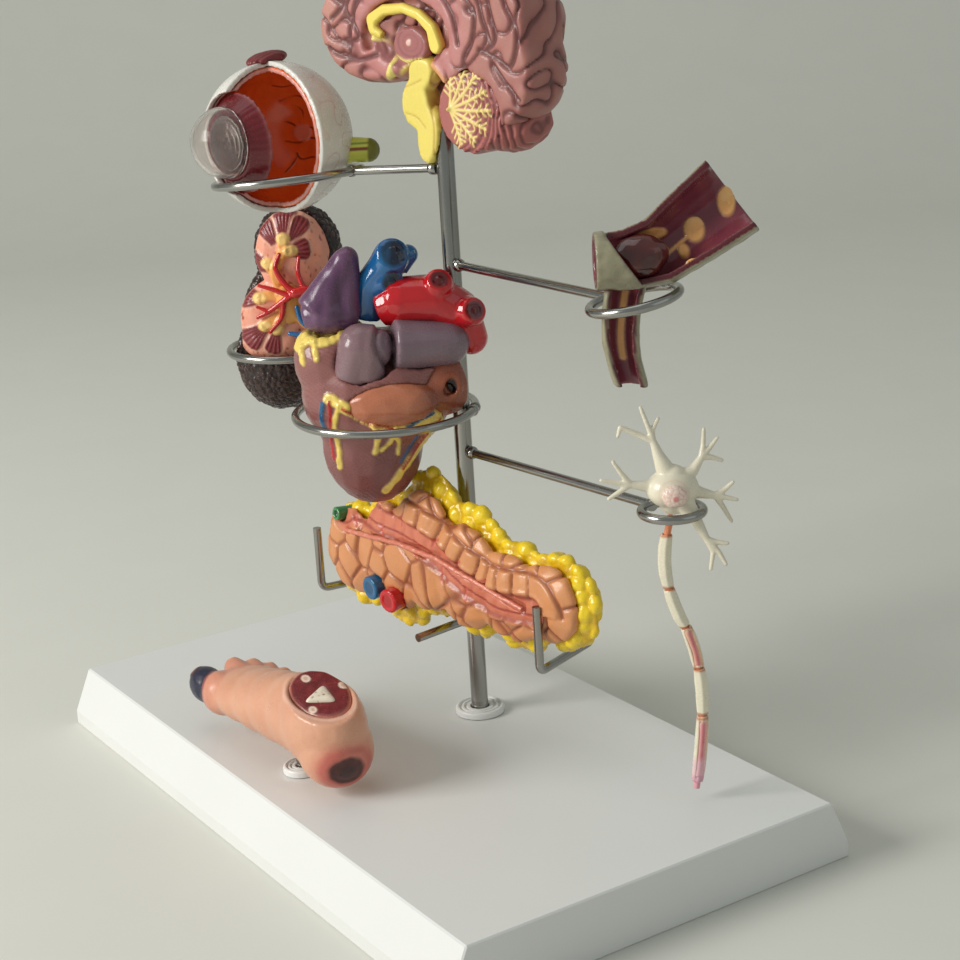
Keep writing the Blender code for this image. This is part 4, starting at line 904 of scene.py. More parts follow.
def build_kidney():
    """Kidney cut open: pebbled brown capsule, salmon face with striped pyramids, calyces, artery and vein."""
    shell = Cast(from_node("kidney_capsule", 0.5, 10), KIDNEY, ink(54, 29, 24))
    shell.push(0.5)
    near, border = cells(shell.points, 2.3, 1.5)
    cleft = band(border, 0.16)
    cut_face = within(-shell.normals[:, 1], -0.75, 0.2) * within(-shell.points[:, 1], 7, 2)
    shell.push((0.30 - 0.62 * cleft) * (1 - cut_face))
    # painted shade in the clefts between the pebbles and a painted highlight on the middle of each pebble
    shell.paint(cleft, ink(28, 12, 12))
    shell.paint(np.clip(0.45 - near, 0, 0.4) * 1.2, ink(84, 50, 40))
    shell.gloss = 0.75 - 0.6 * cleft
    shell.finish(painted("capsule_paint", 0.44, 0.25, 300), "kidney", "capsule_brown", "kidney_capsule")

    face = Cast(from_node("kidney_section", 0.45, 10), KIDNEY, ink(236, 160, 134))
    face.push(0.45)
    front = within(face.points[:, 1], -6.5, 2)
    dashes = np.clip(grain(face.points * (1, 1, 0.6), 1.15, 9.0) * 3.4 - 1.1, 0, 1)
    face.paint(dashes * front, ink(150, 62, 54))
    face.cloud(5.0, 0.35, ink(246, 182, 152), 2.0)
    wedges = (
        ((2.4, 43.0), (3.2, 54.5), 4.8), ((-1.5, 41.0), (-6.0, 49.0), 3.7), ((5.0, 41.5), (10.0, 49.0), 3.5),
        ((3.2, 37.5), (11.4, 38.4), 4.2), ((-4.5, 32.0), (-13.4, 35.4), 4.9),
        ((-8.4, 20.6), (-17.0, 21.8), 4.6),
        ((-7.6, 10.2), (-15.0, 4.2), 4.8), ((-3.2, 8.6), (-5.6, 0.4), 3.4),
    )
    for tip, base, half in wedges:
        tip = np.array(tip)
        run = np.array(base) - tip
        length = np.linalg.norm(run)
        along = (face.front - tip) @ run / length
        aside = (face.front - tip) @ np.array((-run[1], run[0])) / length
        share = np.clip(along / length, 0, 1)
        dome = np.sqrt(np.clip(1 - (np.clip(share - 0.62, 0, 1) / 0.4) ** 2, 0, 1))
        width = half * (0.42 + 0.75 * share) * dome
        outside = np.maximum(np.abs(aside) - width, np.maximum(-along - 0.6, along - length))
        mask = within(outside, 0.0, 0.7) * front
        face.paint(within(outside, 0.9, 0.7) * front * 0.6, ink(240, 186, 160))
        face.paint(mask, ink(116, 32, 40))
        fan = aside / (0.35 + share)
        face.paint(mask * np.clip(np.sin(fan * 4.4), 0, 1) * 0.55, ink(178, 84, 82))
        face.push(mask * (0.35 + 0.14 * np.sin(fan * 4.4)))
    amber = ink(240, 170, 92)
    for line in (
        [(2.0, 42.5), (1.2, 37.5), (-1.5, 30.0), (-0.5, 22.0)], [(-4.2, 33.5), (-2.6, 30.0), (-1.2, 27.0)],
        [(-8.4, 20.8), (-4.0, 21.5), (0.5, 20.0)], [(-7.2, 10.8), (-3.2, 13.6), (1.5, 16.0)],
        [(4.0, 37.8), (1.4, 36.5)], [(-3.0, 9.2), (-0.8, 12.8), (2.0, 14.5)],
    ):
        face.stroke(line, 3.5, amber, 0.9, front, 1.1)
    for spot in ((2.0, 42.2), (-4.4, 33.4), (-8.4, 20.8), (-7.2, 10.8), (4.4, 37.8), (-3.0, 9.4)):
        face.spot(spot, (2.6, 2.1), ink(250, 208, 128), 0.3, 0.8, front)
    face.gloss[:] = 0.35
    face.finish(painted("kidney_face_paint", 0.42, 0.14), "kidney", "cortex_salmon", "kidney_section")

    funnel = Cast(from_node("renal_pelvis_ureter", 0.4, 8), KIDNEY, ink(240, 168, 84))
    funnel.push(0.3)
    funnel.cloud(3.0, 0.4, ink(252, 206, 120))
    funnel.paint(within(funnel.points[:, 2], 6.0, 4) * 0.4, ink(206, 120, 60))
    funnel.finish(painted("funnel_amber_paint", 0.36, 0.14), "kidney", "pelvis_amber", "renal_pelvis_ureter")

    trunk = [(18, -13.0, 22), (13.4, -14.2, 22.2), (9.4, -15.2, 23.4), (5.0, -15.4, 23.0)]
    limbs = []
    for line, first, last in (
        (trunk, 2.3, 1.8),
        ([(5.0, -15.4, 23.0), (1.3, -14.6, 26.5), (-1.5, -13.6, 32.0), (0.3, -13.0, 37.0)], 1.25, 0.6),
        ([(4.5, -15.4, 22.8), (-0.5, -14.6, 19.5), (-5.2, -13.6, 16.4), (-9.6, -12.6, 14.2)], 1.2, 0.6),
        ([(3.0, -15.2, 22.0), (-3.0, -14.2, 24.5), (-8.1, -13.0, 26.0)], 1.0, 0.55),
        ([(0.6, -14.9, 20.4), (-0.8, -14.4, 14.0), (-5.5, -13.2, 8.6)], 0.95, 0.55),
        ([(8.6, -15.0, 23.6), (6.6, -14.2, 29.9), (7.2, -12.8, 35.5)], 1.0, 0.55),
        ([(-5.2, -13.6, 16.4), (-9.5, -12.8, 18.2)], 0.7, 0.5),
    ):
        limbs += tapering(line, first, last)
    tree = Cast(from_parts("renal_artery_tree", KIDNEY, [], limbs, 0.32, 3), KIDNEY, ink(196, 24, 26))
    tree.push(0.1)
    tree.gloss[:] = 1.0
    tree.cloud(3.0, 0.3, ink(150, 12, 18))
    red = painted("artery_red_gloss", 0.36, 0.12, coat=0.4)
    tree.finish(red, "kidney", "artery_red", "renal_artery")

    limbs = []
    for line, first, last in (
        ([(9, -15.2, 8), (13, -15.0, 11.5), (18, -14.0, 14), (21, -13.0, 15)], 1.9, 2.3),
        ([(10.5, -15.2, 9.2), (6.5, -15.0, 12.5), (5.1, -14.6, 17.5)], 1.1, 0.8),
        ([(9.4, -15.2, 8.2), (5.5, -14.8, 7.4), (1.6, -13.6, 7.8)], 1.1, 0.7),
    ):
        limbs += tapering(line, first, last)
    vein = Cast(from_parts("renal_vein_tree", KIDNEY, [], limbs, 0.32, 3), KIDNEY, ink(26, 96, 150))
    vein.push(0.1)
    vein.gloss[:] = 1.0
    # painted shade: the open end of the vein is a shallow dip painted near black
    vein.spot((22.6, -12.5, 15.5), (1.2, 1.8, 1.6), ink(10, 30, 56), -0.4, 0.6)
    blue = painted("vein_blue_gloss", 0.36, 0.12, coat=0.4)
    vein.finish(blue, "kidney", "vein_blue", "renal_vein")


def build_heart():
    """Heart in six casts: ventricles, grey-mauve trunk, tan atrium, purple auricle, red arch, blue veins."""
    yellow = ink(236, 206, 104)
    red = ink(176, 24, 28)
    blue = ink(30, 92, 132)

    walls = Cast(from_node("heart_ventricles", 0.55, 14), HEART, ink(140, 88, 84))
    walls.push(0.45)
    x, y, z = walls.points.T
    front = within(y, -4.0, 4)
    drift = x * 0.55 + z * 0.9 + 2.2 * grain(walls.points, 11.0)
    walls.points[:, 2] += 1.3 * np.clip((-z - 28) / 8, 0, 1)
    fibre = np.sin(drift * 5.2 + 2.0 * grain(walls.points, 3.0))
    walls.push(0.05 * fibre)
    walls.paint(np.clip(fibre, 0, 1) * 0.22, ink(162, 108, 100))
    walls.paint(np.clip(-fibre, 0, 1) * 0.22, ink(112, 66, 66))
    walls.paint(np.clip((-z - 14) / 22, 0, 0.55), ink(112, 58, 58))
    ripple = 0.5 * grain(walls.points, 2.6, 5.0)

    def fat(line, width, height=0.8):
        mask = within(reach(walls.front, curved(line))[0] + ripple, width / 2, 0.7) * front
        walls.paint(mask, yellow)
        walls.push(mask * height * (0.75 + 0.5 * grain(walls.points, 1.6, 3.0)))

    def vessel(line, width, colour):
        walls.stroke(line, width, colour, 0.45, front, 0.45)
        walls.gloss = np.maximum(walls.gloss, within(reach(walls.front, curved(line))[0], width / 2) * front)

    walls.stroke([(-25, 19.5), (-19.5, 21.1), (-12, 22.5), (-4.6, 21.8)], 3.4, ink(110, 26, 34), 0.4, front)
    fat([(-27, 14), (-23.9, 17.2), (-18.7, 16.6), (-13, 18.8), (-7.2, 20.3)], 3.6)
    fat([(-21.5, 17), (-21.0, 11.5)], 2.0)
    fat([(-25.6, 16), (-25.8, 9.5)], 1.8)
    fat([(-12.5, 19), (-12.2, 14.5)], 1.6)
    fat([(-17.5, -2.0), (-14, -3.6), (-9.5, -6.6), (-5.2, -9.4), (0, -11.8), (5, -12.8), (12, -12.6),
         (18, -9.5)], 3.8)
    fat([(-14.4, -4.4), (-16.6, -12), (-15.8, -20), (-16.2, -26.5)], 1.7)
    fat([(-3.0, -11.5), (-2.2, -16), (-3.6, -21.2)], 1.7)
    fat([(4.4, -13.2), (1.7, -18.0), (-1.2, -20.5)], 1.5)
    fat([(3.4, -15.5), (4.6, -18.6), (3.9, -22.7)], 1.3)
    fat([(21, -8.5), (18.2, -13.5), (14.3, -17.8), (10.6, -22.6), (6.1, -27.6), (2.0, -32.4), (-1.4, -36.3)],
        2.3)
    vessel([(-19.8, -3.5), (-20.8, -8.8), (-19.8, -14)], 1.5, blue)
    vessel([(-17.6, -3.0), (-17.6, -8.2), (-18.3, -15), (-17.8, -24)], 1.1, red)
    vessel([(-13.2, -5.0), (-8.0, -8.4), (-3.5, -10.8), (3, -12.9)], 1.1, ink(178, 36, 30))
    vessel([(16.5, -9.4), (11.5, -11.2), (6.2, -14.2)], 1.5, blue)
    vessel([(18.8, -12.5), (14.8, -16.2), (10.4, -21.8), (5.2, -28.4)], 0.9, red)
    vessel([(12.6, -14.4), (9.6, -19.0), (4.6, -25.8)], 0.9, blue)
    walls.gloss = np.maximum(walls.gloss, 0.4)
    walls.finish(painted("ventricle_paint", 0.42, 0.20, 140), "heart", "ventricle_mauve", "heart_ventricles")

    conduit = [
        ((-10.0, -15.5, 3.5), (-6.0, -15.5, 14.5), 6.0, 7.6),
        ((-5.0, -15.5, 3.5), (-3.0, -15.5, 14.0), 6.0, 7.6),
        ((5.0, -13.5, 14.0), (22.5, -9.5, 12.6), 8.8, 7.8),
    ]
    trunk = Cast(from_parts("heart_trunk", HEART, [], conduit, 0.5, 26), HEART, ink(126, 104, 114))
    trunk.push(0.3)
    front = within(trunk.points[:, 1], -6.0, 4)
    seam = curved([(0.5, 21), (-0.6, 16), (2.0, 9), (3.5, 4)])
    crease = within(reach(trunk.front, seam)[0], 0.7, 1.6) * front
    trunk.push(-1.0 * crease)
    # painted shade in the crease
    trunk.paint(crease * 0.8, ink(70, 46, 58))
    trunk.cloud(7.0, 0.45, ink(150, 130, 138))
    trunk.paint(within(trunk.points[:, 0], -0.6, 2.5) * 0.5, ink(142, 106, 106))
    trunk.gloss[:] = 0.55
    trunk.finish(painted("trunk_mauve_paint", 0.40, 0.14), "heart", "trunk_grey_mauve", "pulmonary_trunk")

    atrium = Cast(from_node("right_atrium", 0.5, 12), HEART, ink(184, 112, 82))
    atrium.push(0.4)
    x, y, z = atrium.points.T
    atrium.paint(np.clip((x - 12) / 5, 0, 1) * 0.75, ink(126, 60, 42))
    atrium.cloud(6.0, 0.35, ink(206, 140, 104))
    atrium.spot((23.6, -0.6), (3.4, 4.0), ink(150, 78, 50), 0.5, 1.5, within(y, -8, 3))
    # painted shade: the oval hole is a shallow dip painted near black
    atrium.spot((23.6, -0.6), (1.9, 2.6), ink(34, 12, 12), -0.9, 0.8, within(y, -6, 3))
    atrium.gloss[:] = 0.5
    atrium.finish(painted("atrium_tan_paint", 0.40, 0.14), "heart", "tan_tissue", "right_atrium")

    fin = [
        ((-24.5, -9.0, 24.0), (-17.0, -9.0, 25.0), 4.0, 7.0),
        ((-17.0, -9.0, 25.0), (-11.5, -8.5, 24.5), 7.0, 6.0),
        ((-20.0, -9.0, 26.0), (-9.5, -8.0, 42.0), 7.0, 4.2),
        ((-11.0, -8.0, 25.0), (-8.6, -7.5, 43.0), 6.0, 3.6),
    ]
    flap = Cast(from_parts("heart_flap", HEART, [], fin, 0.5, 16), HEART, ink(98, 64, 94))
    flap.push(0.3)
    ridge = grain(flap.points * (1, 1, 0.35), 3.4, 7.0)
    flap.push(0.35 * ridge)
    # painted highlight on the raised ridges and painted shade in the hollows between them
    flap.paint(np.clip(ridge, 0, 1) * 0.6, ink(136, 100, 128))
    flap.paint(np.clip(-ridge, 0, 1) * 0.6, ink(62, 34, 60))
    flap.gloss[:] = 0.55
    flap.finish(painted("auricle_purple_paint", 0.40, 0.14), "heart", "auricle_purple", "left_auricle")

    tubes = [
        ((1.0, -7.0, 25.0), (8.0, -8.0, 27.5), 6.0, 8.2), ((8.0, -8.0, 27.5), (19.5, -7.0, 27.5), 8.2, 8.2),
        ((19.5, -7.0, 27.5), (27.0, -5.5, 22.5), 8.2, 7.4),
        ((27.0, -5.5, 22.5), (31.0, -4.0, 12.5), 7.4, 5.6),
        ((20.0, -8.0, 29.0), (21.2, -11.0, 33.0), 5.4, 5.0),
        ((27.0, -7.0, 23.0), (31.4, -11.0, 23.0), 5.6, 5.0),
    ]
    arch = Cast(from_parts("heart_arch", HEART, [], tubes, 0.5, 10), HEART, ink(190, 22, 30))
    arch.push(0.2)
    # painted shade: the two open ends are sunk a little and painted dark red, as if shadowed inside
    for centre in ((22.0, -15.2, 36.4), (33.6, -15.4, 24.6)):
        apart = np.linalg.norm((arch.points - centre) / (4.3, 4.3, 4.0), axis=1)
        arch.push(-1.6 * within(apart, 0.85, 0.5))
        arch.paint(within(apart, 0.95, 0.2), ink(84, 6, 14))
    arch.cloud(7.0, 0.5, ink(136, 8, 22), sign=-1)
    arch.gloss[:] = 1.0
    arch.finish(painted("arch_red_gloss", 0.34, 0.12, coat=0.5), "heart", "artery_red", "aortic_arch")

    tubes = [
        ((-4.0, -5.0, 22.0), (-1.5, -5.5, 33.0), 5.0, 5.4), ((-1.5, -5.5, 33.0), (4.0, -7.0, 39.0), 5.4, 6.0),
        ((4.0, -7.0, 39.0), (6.2, -8.5, 42.8), 6.0, 6.0), ((-1.0, -6.0, 32.0), (5.2, -9.5, 35.0), 4.6, 4.4),
        ((8.0, -6.0, 40.0), (11.5, -5.5, 42.5), 4.6, 3.4),
    ]
    veins = Cast(from_parts("heart_veins", HEART, [], tubes, 0.45, 9), HEART, ink(20, 84, 138))
    veins.push(0.2)
    # painted shade: the two open ends are sunk a little and painted near black, as if shadowed inside
    for centre, size in (((7.4, -13.6, 45.4), 5.4), ((6.6, -13.6, 34.6), 4.0)):
        apart = np.linalg.norm(veins.points - centre, axis=1) / size
        veins.push(-1.5 * within(apart, 0.85, 0.5))
        veins.paint(within(apart, 0.95, 0.2), ink(6, 22, 48))
    veins.cloud(6.0, 0.5, ink(44, 122, 170))
    veins.gloss[:] = 1.0
    veins.finish(painted("veins_blue_gloss", 0.34, 0.12, coat=0.5), "heart", "vein_blue", "vena_cava")


def build_pancreas():
    """Pancreas laid open along its duct: tan lobules, coral trough, knobbly yellow fat all round."""
    duct_line = [(-50, 91), (-45.4, 93.5), (-27.1, 91.5), (-6.6, 89.4), (6.2, 84), (18.8, 78.8),
                 (31.1, 75.4), (50.8, 76.3)]
    flesh = Cast(from_node("pancreas_body", 0.55, 12), PANCREAS, ink(212, 142, 92))
    flesh.push(0.4)
    front = within(flesh.points[:, 1], -14.0, 3)
    apart, along = reach(flesh.front, curved(duct_line))
    below = np.interp(flesh.points[:, 0], [spot[0] for spot in duct_line], [spot[1] for spot in duct_line])
    under = flesh.points[:, 2] < below
    near, border = cells(flesh.points * (1.0, 0.45, 0.85), 10.5, 4.4)
    segment = np.abs(((along + 1.6 * grain(flesh.points, 9.0)) / 7.4) % 1.0 - 0.5) * 2
    upper = within(np.abs(apart - 8.2), 4.4, 1.5) * (~under) * front
    trough = within(apart, 5.0 + np.clip(-(flesh.points[:, 0] + 20) / 12, 0, 2.2), 2.2) * front
    cleft = band(border, 0.09) * (1 - upper) * (1 - trough)
    cleft = np.maximum(cleft, np.clip(segment - 0.80, 0, 1) * 5 * upper)
    cleft = np.clip(np.maximum(cleft, band(apart - 12.8, 0.7) * (~under) * front), 0, 1)
    flesh.push(0.5 * (1 - np.clip(near * 1.3, 0, 1)) * (1 - trough) - 0.95 * cleft)
    flesh.push(upper * 0.9 * (1 - segment**2))
    # painted highlight on the raised middle of each lobule, painted shade in the clefts
    flesh.paint(np.clip(0.5 - near, 0, 1) * 0.5, ink(228, 166, 112))
    flesh.paint(cleft * 0.85, ink(142, 70, 48))
    flesh.paint(trough * 0.85, ink(208, 116, 92))
    flesh.push(-1.1 * trough)
    edge = band(apart - 4.6, 0.8) * front
    flesh.paint(edge * 0.8, ink(150, 66, 54))
    flesh.push(0.5 * band(apart - 5.6, 0.8) * front)
    ripples = np.sin(along * 1.0 + 2 * grain(flesh.points, 4.0)) * trough
    flesh.push(0.12 * ripples)
    # painted shade on the low sides of the ripples in the trough
    flesh.paint(np.clip(-ripples, 0, 1) * 0.25, ink(170, 76, 64))
    flesh.stroke([(x, z - 1.7) for x, z in duct_line[1:]], 0.7, ink(150, 52, 48), -0.25, front, 0.4)
    for index in range(11):
        path = curved(duct_line)
        spot = path[3 + index * 3]
        ahead = path[4 + index * 3] - spot
        across = np.array((-ahead[1], ahead[0])) / np.linalg.norm(ahead) * (-1 if index % 2 else 1)
        tip = spot + across * 7.0 + ahead / np.linalg.norm(ahead) * 2.4
        flesh.stroke([tuple(spot + across * 1.5), tuple(spot + across * 4.2 + 0.3), tuple(tip)], 0.9,
                     ink(196, 92, 78), -0.3, front, 0.4)
    flesh.gloss[:] = 0.3
    flesh.points[:, 2] -= 0.9 * np.clip((flesh.points[:, 2] - 90) / 12, 0, 1)
    flesh.finish(painted("pancreas_tan_paint", 0.44, 0.18, 200), "pancreas", "tan_tissue", "pancreas_body")

    fat = Cast(from_node("pancreas_fat_border", 0.55, 8), PANCREAS, ink(240, 206, 34))
    fat.push(0.3)
    near, border = cells(fat.points, 6.2, 2.2)
    fat.push(1.9 * (1 - np.clip(near / 0.62, 0, 1) ** 2) - 0.35)
    fat.settle()
    fine, _border = cells(fat.points, 2.0, 7.7)
    fat.push(0.28 * (1 - np.clip(fine / 0.7, 0, 1) ** 2))
    # painted shade down between the nodules and a painted highlight on their tops
    fat.paint(np.clip(near - 0.42, 0, 1) * 1.9, ink(190, 140, 10))
    fat.paint(np.clip(0.3 - near, 0, 1), ink(252, 226, 70))
    fat.cloud(10.0, 0.25, ink(246, 196, 20))
    fat.gloss[:] = 0.45
    fat.points[:, 2] -= 1.0 * np.clip((fat.points[:, 2] - 90) / 12, 0, 1)
    fat.finish(painted("fat_yellow_paint", 0.40, 0.10, coat=0.25), "pancreas", "fat_yellow",
               "pancreas_fat_border")

    duct = Cast(from_node("pancreatic_duct", 0.3, 6), PANCREAS, ink(214, 124, 100))
    duct.push(-0.15 + 0.25 * grain(duct.points, 2.2))
    duct.cloud(1.8, 0.5, ink(236, 176, 146))
    duct.finish(painted("duct_coral_paint", 0.36, 0.16), "pancreas", "duct_coral", "pancreatic_duct")

    stubs = (
        # the fourth entry of each stub is painted shade: a darker copy of its colour for the open mouth
        ("splenic_vein_stub", (-32.0, -21.0, 66.2), ink(26, 96, 140), ink(20, 78, 120), "vein_blue"),
        ("splenic_artery_stub", (-22.0, -21.0, 63.6), ink(196, 30, 36), ink(176, 22, 30), "artery_red"),
        ("bile_duct_stub", (-53.5, -17.5, 89.0), ink(64, 132, 74), ink(24, 66, 40), "bile_green"),
    )
    for node, mouth, colour, hollow_shade, slot in stubs:
        stub = Cast(from_node(node, 0.3, 6), PANCREAS, colour)
        stub.push(0.25)
        apart = np.linalg.norm((stub.points - mouth)[:, [0, 2]], axis=1)
        size = 1.2 if node == "bile_duct_stub" else 2.5
        open_end = within(apart, size, 0.7) * within(stub.points[:, 1], mouth[1] + 1.4, 0.8)
        stub.push((-1.0 if node == "bile_duct_stub" else -0.2) * open_end)
        # painted shade in the open mouth of the stub
        stub.paint(open_end, hollow_shade)
        stub.paint(band(apart - size - 0.5, 0.3) * 0.3, colour * 1.5)
        stub.gloss[:] = 0.9
        stub.finish(painted(node + "_paint", 0.36, 0.14, coat=0.3), "pancreas", slot, node)


def build_artery():
    """Artery laid open: olive outside, maroon lining, pale plaques and a dark glossy clot."""
    line = [(-14, 0, 11.9), (-2, 0, 11.9), (7.6, 0, 13.8), (18, 0, 20.8), (29.1, 0, 28.7), (33, 0, 31.5)]
    branch = [(-2.0, 0.5, 9.0), (-5.4, 0.5, -28.0)]
    wall = Cast(from_node("artery_wall", 0.42, 7), ARTERY, ink(150, 144, 118))
    wall.push(0.25)
    on_branch = wall.points[:, 2] < 4.5
    axis_point = np.zeros_like(wall.points)
    nearest = np.full(len(wall.points), 1e9)
    runs = list(zip(line, line[1:])) + [tuple(branch)]
    for start, end in runs:
        start = np.array(start, float)
        run = np.array(end, float) - start
        part = np.clip((wall.points - start) @ run / (run @ run), 0, 1)
        foot = start + part[:, None] * run
        apart = np.linalg.norm(wall.points - foot, axis=1)
        own = on_branch if end == branch[1] else ~on_branch
        take = own & (apart < nearest)
        axis_point[take] = foot[take]
        nearest = np.where(take, apart, nearest)
    outward = wall.points - axis_point
    outward /= np.maximum(np.linalg.norm(outward, axis=1), 1e-6)[:, None]
    facing = np.einsum("ij,ij->i", wall.normals, outward)
    lining = within(facing, -0.35, 0.25)
    outside = within(-facing, -0.55, 0.25)
    cut = np.clip(1 - lining - outside, 0, 1)
    grooves = grain(wall.points * (0.5, 1, 0.5), 1.6, 3.0)
    wall.push(outside * grooves * 0.22)
    # painted shade in the sunk grooves of the outer wall
    wall.paint(outside * np.clip(-grooves, 0, 1) * 0.6, ink(110, 102, 80))
    wall.paint(lining, ink(118, 54, 66))
    wall.paint(lining * np.clip(grain(wall.points, 5.0), 0, 1) * 0.5, ink(146, 70, 76))
    wall.paint(cut, ink(82, 20, 30))
    fatty = ink(240, 178, 108)
    inside = np.clip(lining * 1.6, 0, 1)
    for centre, radii in (
        ((28.6, 25.6), (2.6, 4.2)), ((18.9, 18.0), (3.0, 3.4)), ((15.4, 12.4), (1.6, 1.8)),
        ((6.2, 17.9), (4.6, 1.9)),
        ((-6.4, 8.2), (1.9, 1.4)),
    ):
        wall.spot(centre, radii, fatty, 0.5, 0.9, inside)
    wall.stroke([(-2.0, 2.0), (-2.6, -4.5), (-3.4, -10), (-4.4, -17.5)], 2.1, fatty, 0.4, inside)
    wall.stroke([(7, 8.5), (12, 12.5), (17.5, 16.5)], 1.0, fatty, 0.25, inside)
    wall.gloss = 0.35 + 0.4 * lining
    drop = np.clip((3.0 - wall.points[:, 2]) / 29, 0, 1)
    wall.points[:, 0] += 3.4 * drop**1.5 - 1.7 * np.sin(math.pi * drop)
    wall.finish(painted("artery_olive_paint", 0.42, 0.18), "artery", "artery_olive", "artery_wall")

    clot = Cast(from_node("artery_clot", 0.35, 8), ARTERY, ink(74, 26, 24))
    lump = grain(clot.points, 4.2, 6.0)
    clot.push(0.35 + 0.55 * lump)
    # painted shade in the hollows of the clot and a painted highlight on its bumps
    clot.paint(np.clip(-lump, 0, 1), ink(54, 14, 14))
    clot.paint(np.clip(lump, 0, 1) * 0.6, ink(128, 50, 38))
    clot.gloss[:] = 1.0
    clot.finish(painted("clot_brown_gloss", 0.34, 0.2, coat=0.6), "artery", "clot_brown", "artery_clot")

    patches = [((28.4, 10.2, 26.0), (2.6, 1.1, 4.0)), ((29.6, 9.9, 24.0), (2.2, 1.1, 2.6)),
               ((18.9, 8.7, 18.4), (3.2, 1.1, 3.5))]
    plaque = Cast(from_parts("plaque_patches", ARTERY, patches, [], 0.35, 5), ARTERY, ink(244, 186, 116))
    plaque.push(0.1 * grain(plaque.points, 2.2))
    plaque.cloud(3.2, 0.5, ink(250, 212, 150), 8.0)
    plaque.finish(painted("plaque_paint", 0.38, 0.12), "artery", "plaque_cream", "artery_plaque")


